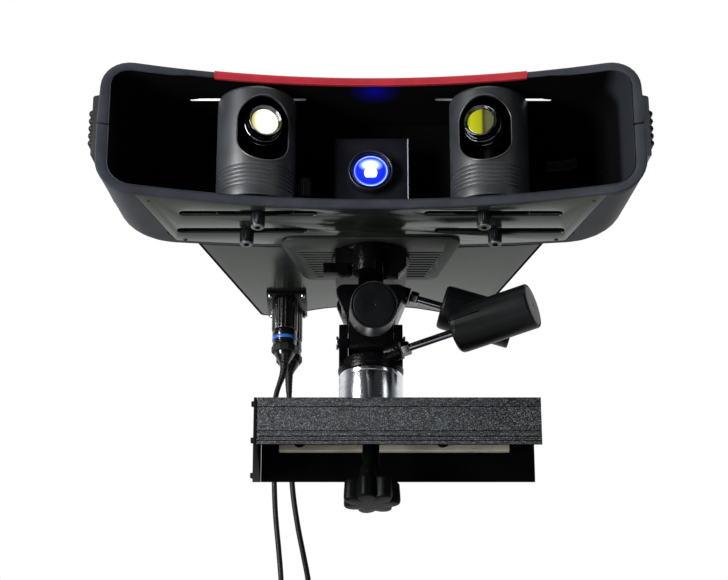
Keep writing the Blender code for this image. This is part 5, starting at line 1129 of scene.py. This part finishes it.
def make_connectors(f):
    """Each connector from the block down: fluted sleeve, blue ring, collar, gland nut and cone."""
    redrawn("connector_block", f["casting"], "scanner", "black_metal", width=0.0007)
    for x, back, word in ((-0.1010, 0.1905, "left"), (-0.0680, 0.1905, "right"),
                          (-0.1010, 0.2405, "far_left"), (-0.0680, 0.2405, "far_right")):
        screw = placed(screw_head(0.0023, 0.0024, 0.0011), facing(deck(x, back, -0.0033), DOWN))
        finish(raw(f"flange_screw_{word}", screw), f["zinc"], "scanner", "steel")
    for i, x, back in ((1, -0.0862, 0.205), (2, -0.0822, 0.231)):
        where = facing(deck(x, back, 0))
        sleeve = soft([(0.0106, -0.0036), (0.0122, -0.0036), (0.0127, -0.0042), (0.0127, -0.0360),
                       (0.0122, -0.0369), (0.0106, -0.0369)], 0.0004, 2)
        ripple = np.where((sleeve[:, 0] > 0.0124), 0.00035, 0)
        turned(f"coupling_sleeve_{i}_body", np.c_[sleeve, ripple], 144, where, f["nylon"], f"sleeve_{i}",
               "black_plastic", f"coupling_sleeve_{i}", waves=18, closed=True, crease=40)
        rows = [(0, -0.0303), (0.0100, -0.0303), (0.0100, -0.0372), (0.0120, -0.0374), (0.0124, -0.0380),
                (0.0124, -0.0440), (0.0119, -0.0443), (0.0119, -0.0526), (0.0122, -0.0531),
                (0.0100, -0.0531), (0.0100, -0.0600), (0.0104, -0.0606), (0.0092, -0.0640),
                (0.0060, -0.0690), (0.0048, -0.0715), (0, -0.0715)]
        turned(f"cord_plug_{i}_body", soft(rows, 0.0004, 2), 72, where, f["nylon"], "scanner",
               "black_plastic", f"cord_plug_{i}")
        ring = soft([(0.0117, -0.0443), (0.0125, -0.0444), (0.0126, -0.0448), (0.0126, -0.0472),
                     (0.0125, -0.0476), (0.0117, -0.0477)], 0.0002, 2)
        turned(f"blue_ring_{i}", ring, 72, where, f["blue_ring"], "scanner", "black_plastic", closed=True)
        nut = soft([(0.0098, -0.0533), (0.0126, -0.0533), (0.0131, -0.0541), (0.0131, -0.0592),
                    (0.0122, -0.0605), (0.0098, -0.0608)], 0.0002, 2)
        turned(f"gland_nut_{i}", nut, 10, where, f["jacket"], "scanner", "black_plastic", closed=True,
               crease=20)


# Head, handles, post, knob and rail

# Where each handle's rod starts, in head() terms, its way, where along it the grip starts, and its length
HANDLES = {
    "pan": ((0.0290, -0.0258, -0.1111), (0.913, -0.375, 0.180), 0.0555, 0.078),
    "tilt": ((0.0, -0.0275, -0.0805), (0.02, -0.949, -0.302), 0.050, 0.078),
    "roll": ((0.0372, 0.0015, -0.0437), (0.959, 0.068, -0.273), 0.0325, 0.0715)}
TO_CAMERA = (0, -0.91, -0.415)  # the mould slots face this way, as the photograph shows them


def make_handle(f, word):
    """A black chromed rod with its lock nut, and a rubber grip with a ringed end and one mould slot."""
    start, way, first, long = HANDLES[word]
    body = f"{word}_handle"
    where = facing(head(*start), way)
    last = first + long
    steel = [(0, 0.0002), (0.0028, 0.0002), (0.0037, 0.0014), (0.0037, 0.0088), (0.0037, first + long / 2),
             (0, first + long / 2)]
    turned(f"{word}_rod_body", soft(steel, 0.0003, 2), 40, where, f["chrome"], body, "steel",
           f"{word}_handle_rod", crease=40)
    nut = soft([(0.0036, 0.0008), (0.0058, 0.0008), (0.0067, 0.0016), (0.0067, 0.0078), (0.0058, 0.0088),
                (0.0036, 0.0088)], 0.0003, 2)
    turned(f"{word}_lock_nut", nut, 6, where, f["chrome"], body, "steel", closed=True, crease=20)
    hole = 0.0041
    grip = [(0, last - 0.0011), (0.0007, last - 0.0009), (0.0012, last), (0.0186, last),
            (0.0190, last - 0.0011), (0.0198, last - 0.0011), (0.0201, last), (0.0209, last - 0.0002),
            (0.0215, last - 0.0014),
            (0.0215, first + 0.0060), (0.0211, first + 0.0022), (0.0197, first + 0.0004), (0.0180, first),
            (0.0075, first), (0.0062, first + 0.0008), (hole, first + 0.0010),
            (hole, first + long / 2 + 0.0003), (0, first + long / 2 + 0.0003)]
    obj = raw(f"{word}_grip_body", placed(turned_shape(soft(grip, 0.0005, 3), 96), where))
    along, place = where[0][:, 2], where[1]
    front = np.array(TO_CAMERA) - along * (along @ TO_CAMERA)
    front /= np.linalg.norm(front)
    over = np.cross(front, along) * np.sign(np.cross(front, along)[2])
    out = 0.83 * front + 0.56 * over
    slot = slab_shape(stadium(0, 0, 0.0150, 0.0006), 0.0203, 0.0230)
    turn = np.stack([along, np.cross(out, along), out], 1)
    carved(obj, placed(slot, (turn, place + along * (first + 0.0175))))
    finish(obj, f["rubber"], body, "grip", f"{word}_handle_grip", crease=40)


def make_head(f):
    """The castings with their edges rounded, the tilt pin and a band round the base's foot."""
    for node, body, width, segments in (
            ("pan_base", "pan_body", 0.0012, 3), ("tilt_body", "tilt_body", 0.0010, 3),
            ("platform", "scanner", 0.0012, 3), ("quick_lever", "lever", 0.0016, 3),
            ("quick_plate", "scanner", 0.0008, 2)):
        redrawn(node, f["casting"], body, "black_metal", width, segments)
    redrawn("tilt_pin", f["milled"], "pan_body", "steel", width=0.0005)
    collar = soft([(0.0308, 0.0030), (0.0312, 0.0034), (0.0312, 0.0064), (0.0308, 0.0068), (0.0302, 0.0066),
                   (0.0302, 0.0032)], 0.0002, 2)
    turned("collar_band", collar, 96, facing((0, AXIS_Y, BASE_LOW)), f["casting"], "pan_body",
           "black_metal", closed=True)


def make_post(f):
    """The polished post: chamfered ends, a fine turned line near its top, and the bore for the thread."""
    rows = [(0, 0.0413), (0.0296, 0.0413), (0.0305, 0.0406), (0.0305, 0.0372), (0.0303, 0.0370),
            (0.0303, 0.0366), (0.0305, 0.0364), (0.0305, 0.0010), (0.0298, 0.0001), (0.0054, 0.0001),
            (0.0054, 0.022), (0, 0.022)]
    turned("post_body", soft(rows, 0.0003, 2), 144, facing((0, AXIS_Y, POST_LOW)), f["polished"],
           "mounting", "steel", "post", crease=40)


def make_knob(f):
    """The star knob from its thread down: stem, ribbed hub, then seven lobes that swell from the hub."""
    stem_top = RAIL_TOP - 0.0043
    hub_top = stem_top - 0.0460
    star_top = hub_top - 0.0125
    thread = POST_LOW + 0.018
    turns = np.arange(stem_top + 0.0015, thread - 0.001, 0.0004)
    screw = [(0.0049 - 0.0004 * (i % 2), z, 0) for i, z in enumerate(turns)][::-1]
    rows = [(0, thread, 0), (0.0040, thread, 0), *screw, (0.0049, stem_top, 0), (0.0080, stem_top, 0),
            (0.0080, hub_top, 0), (0.0100, hub_top - 0.0004, 0.0004), (0.0106, hub_top - 0.0060, 0.0006),
            (0.0118, star_top - 0.0002, 0.0008), (0.0170, star_top - 0.0012, 0.0018),
            (0.0212, star_top - 0.0022, 0.0034), (0.0226, star_top - 0.0040, 0.0040),
            (0.0232, star_top - 0.0120, 0.0040), (0.0236, star_top - 0.0200, 0.0040),
            (0.0232, star_top - 0.0226, 0.0038), (0.0218, star_top - 0.0238, 0.0034),
            (0.0120, star_top - 0.0244, 0.0010), (0, star_top - 0.0246, 0)]
    turned("star_knob_body", soft(rows, 0.0012, 3), 224, facing((0, AXIS_Y, 0)), f["phenolic"], "knob",
           "grip", "star_knob", waves=7, crease=45)


def rail_section():
    """The open-bottomed channel as (y, z): fine grooves, each with a raised lip below, and a rolled foot."""
    half, top, low = 0.052, RAIL_TOP, -RAIL_TOP
    side, reach = [(half, top)], [0.0008]
    for drop, wide, deep in ((0.0095, 0.0010, 0.0008), (0.0333, 0.0010, 0.0008), (0.0352, 0.0006, 0.0004),
                             (0.0385, 0.0012, 0.0009), (0.0410, 0.0006, 0.0004), (0.0428, 0.0009, 0.0007)):
        z = top - drop
        side += [(half, z + wide / 2), (half - deep, z + wide / 4), (half - deep, z - wide / 4),
                 (half, z - wide / 2), (half + 0.0004, z - wide / 2 - 0.0003), (half, z - wide / 2 - 0.0011)]
        reach += [0.0002] * 4 + [0.0003, 0.0002]
    side += [(half, low), (half - 0.0032, low), (half - 0.0032, top - 0.004)]
    reach += [0.0007, 0.0005, 0.0010]
    points = np.array(side + [(-y, z) for y, z in reversed(side)])
    return soft(points + (AXIS_Y, 0), reach + reach[::-1], 2, closed=True)


def make_rail(f):
    """The rail with the knob's bore, its end cap, and the light strip held inside it by two clips."""
    points, faces = slab_shape(rail_section(), -0.105, 0.157)
    rail = raw("rail_section_body", (points[:, [2, 0, 1]], faces))
    bore = turned_shape(np.array([(0, 0.0), (0.0054, 0.0), (0.0054, 0.03), (0, 0.03)]), 48)
    carved(rail, placed(bore, facing((0, AXIS_Y, 0))))
    finish(rail, [f["hammertone"], f["bay"]], "mounting", "rail", "rail", crease=30)
    # The channel's inner faces take the near-black matt: painted shade inside the rail.
    sorted_faces(rail, lambda c, n: (np.abs(c[:, 1] - AXIS_Y) < 0.0515) & (c[:, 2] < RAIL_TOP - 0.001)
                 & (np.abs(n[:, 0]) < 0.5))
    redrawn("rail_end_cap", f["end_cap"], "mounting", "black_plastic", width=0.0006)
    strip = box_shape((-0.088, -0.0095, RAIL_TOP - 0.0175), (0.133, -0.0035, RAIL_TOP - 0.0103))
    obj = rounded(raw("light_strip_body", strip), 0.0012, 3)
    finish(obj, f["strip"], "mounting", "warm_grey", "light_strip")
    for x, word in ((-0.068, "left"), (0.069, "right")):
        low, half = RAIL_TOP - 0.0077, 0.0066
        plan = np.concatenate([arc(x, low, half, 180, 360, 20),
                               [(x + half, low + 0.0034), (x - half, low + 0.0034)]])
        points, faces = slab_shape(plan, 0.0096, 0.0130, 0.0006)
        clip = points[:, [0, 2, 1]] * (1, -1, 1), faces
        finish(raw(f"strip_clip_{word}", clip), f["bay"], "mounting", "black_plastic")


def paint(node, material):
    NODES[node].data.materials.clear()
    NODES[node].data.materials.append(material)


def plain_nodes(f):
    """Nodes whose own shape is right keep it, with the finish of the real piece; the carriages instead take
    the near-black matt as painted shade, so that the deck's slots read dark.
    """
    # The carriages' near-black matt is painted shade under the deck's slots.
    for node, key in (("control_board", "board"), ("heat_sink", "milled"), ("cooling_fan", "turret"),
                      ("fan_impeller", "turret"), ("carriage_left", "bay"), ("carriage_right", "bay"),
                      ("camera_left", "anodised"), ("camera_right", "anodised")):
        paint(node, f[key])


def make_glasses(f):
    """The finishes that need a place: two filters and the projector's lens."""
    # Painted light: the left filter glows near white in its middle, and the right one's dark side is a
    # painted reflection.
    for word, side, stops, glow in (
            ("left", -1, ((0.0, "#c9bf6a"), (0.14, "#efe8b4"), (0.40, "#fffff2"), (0.80, "#fffdec"),
                          (1.0, "#d2c878")), 0.62),
            ("right", 1, ((0.0, "#63680a"), (0.15, "#83860e"), (0.50, "#74770e"), (0.60, "#26280c"),
                          (0.72, "#41432a"), (1.0, "#45472e")), 0.20)):
        place = deck(TURRET_SIDE[word], TURRET_BACK, LENS_RISE) + toed(side, LENS_TOE) * LENS_SEAT
        across = np.cross(toed(side, LENS_TOE), UP)
        across *= np.sign(across[0])
        f[f"glass_{word}"] = lens_glass(f"filter_painted_light_{word}", place, stops, across, glow)
    f["projector"] = projector_light("lit_blue_lens", deck(0, PROJECTOR_FRONT, PROJECTOR_RISE),
                                     PROJECTOR_RADIUS, 0.9)


def main():
    make_camera()
    f = make_finishes()
    make_cords(f)
    make_light()
    make_glasses(f)
    plain_nodes(f)
    make_hood(f)
    make_side_grips(f)
    make_bay_fittings(f)
    for side, word in SIDES:
        make_turret(f, word, side)
    make_projector(f)
    make_rear(f)
    make_connectors(f)
    make_head(f)
    for word in HANDLES:
        make_handle(f, word)
    make_post(f)
    make_knob(f)
    make_rail(f)


main()
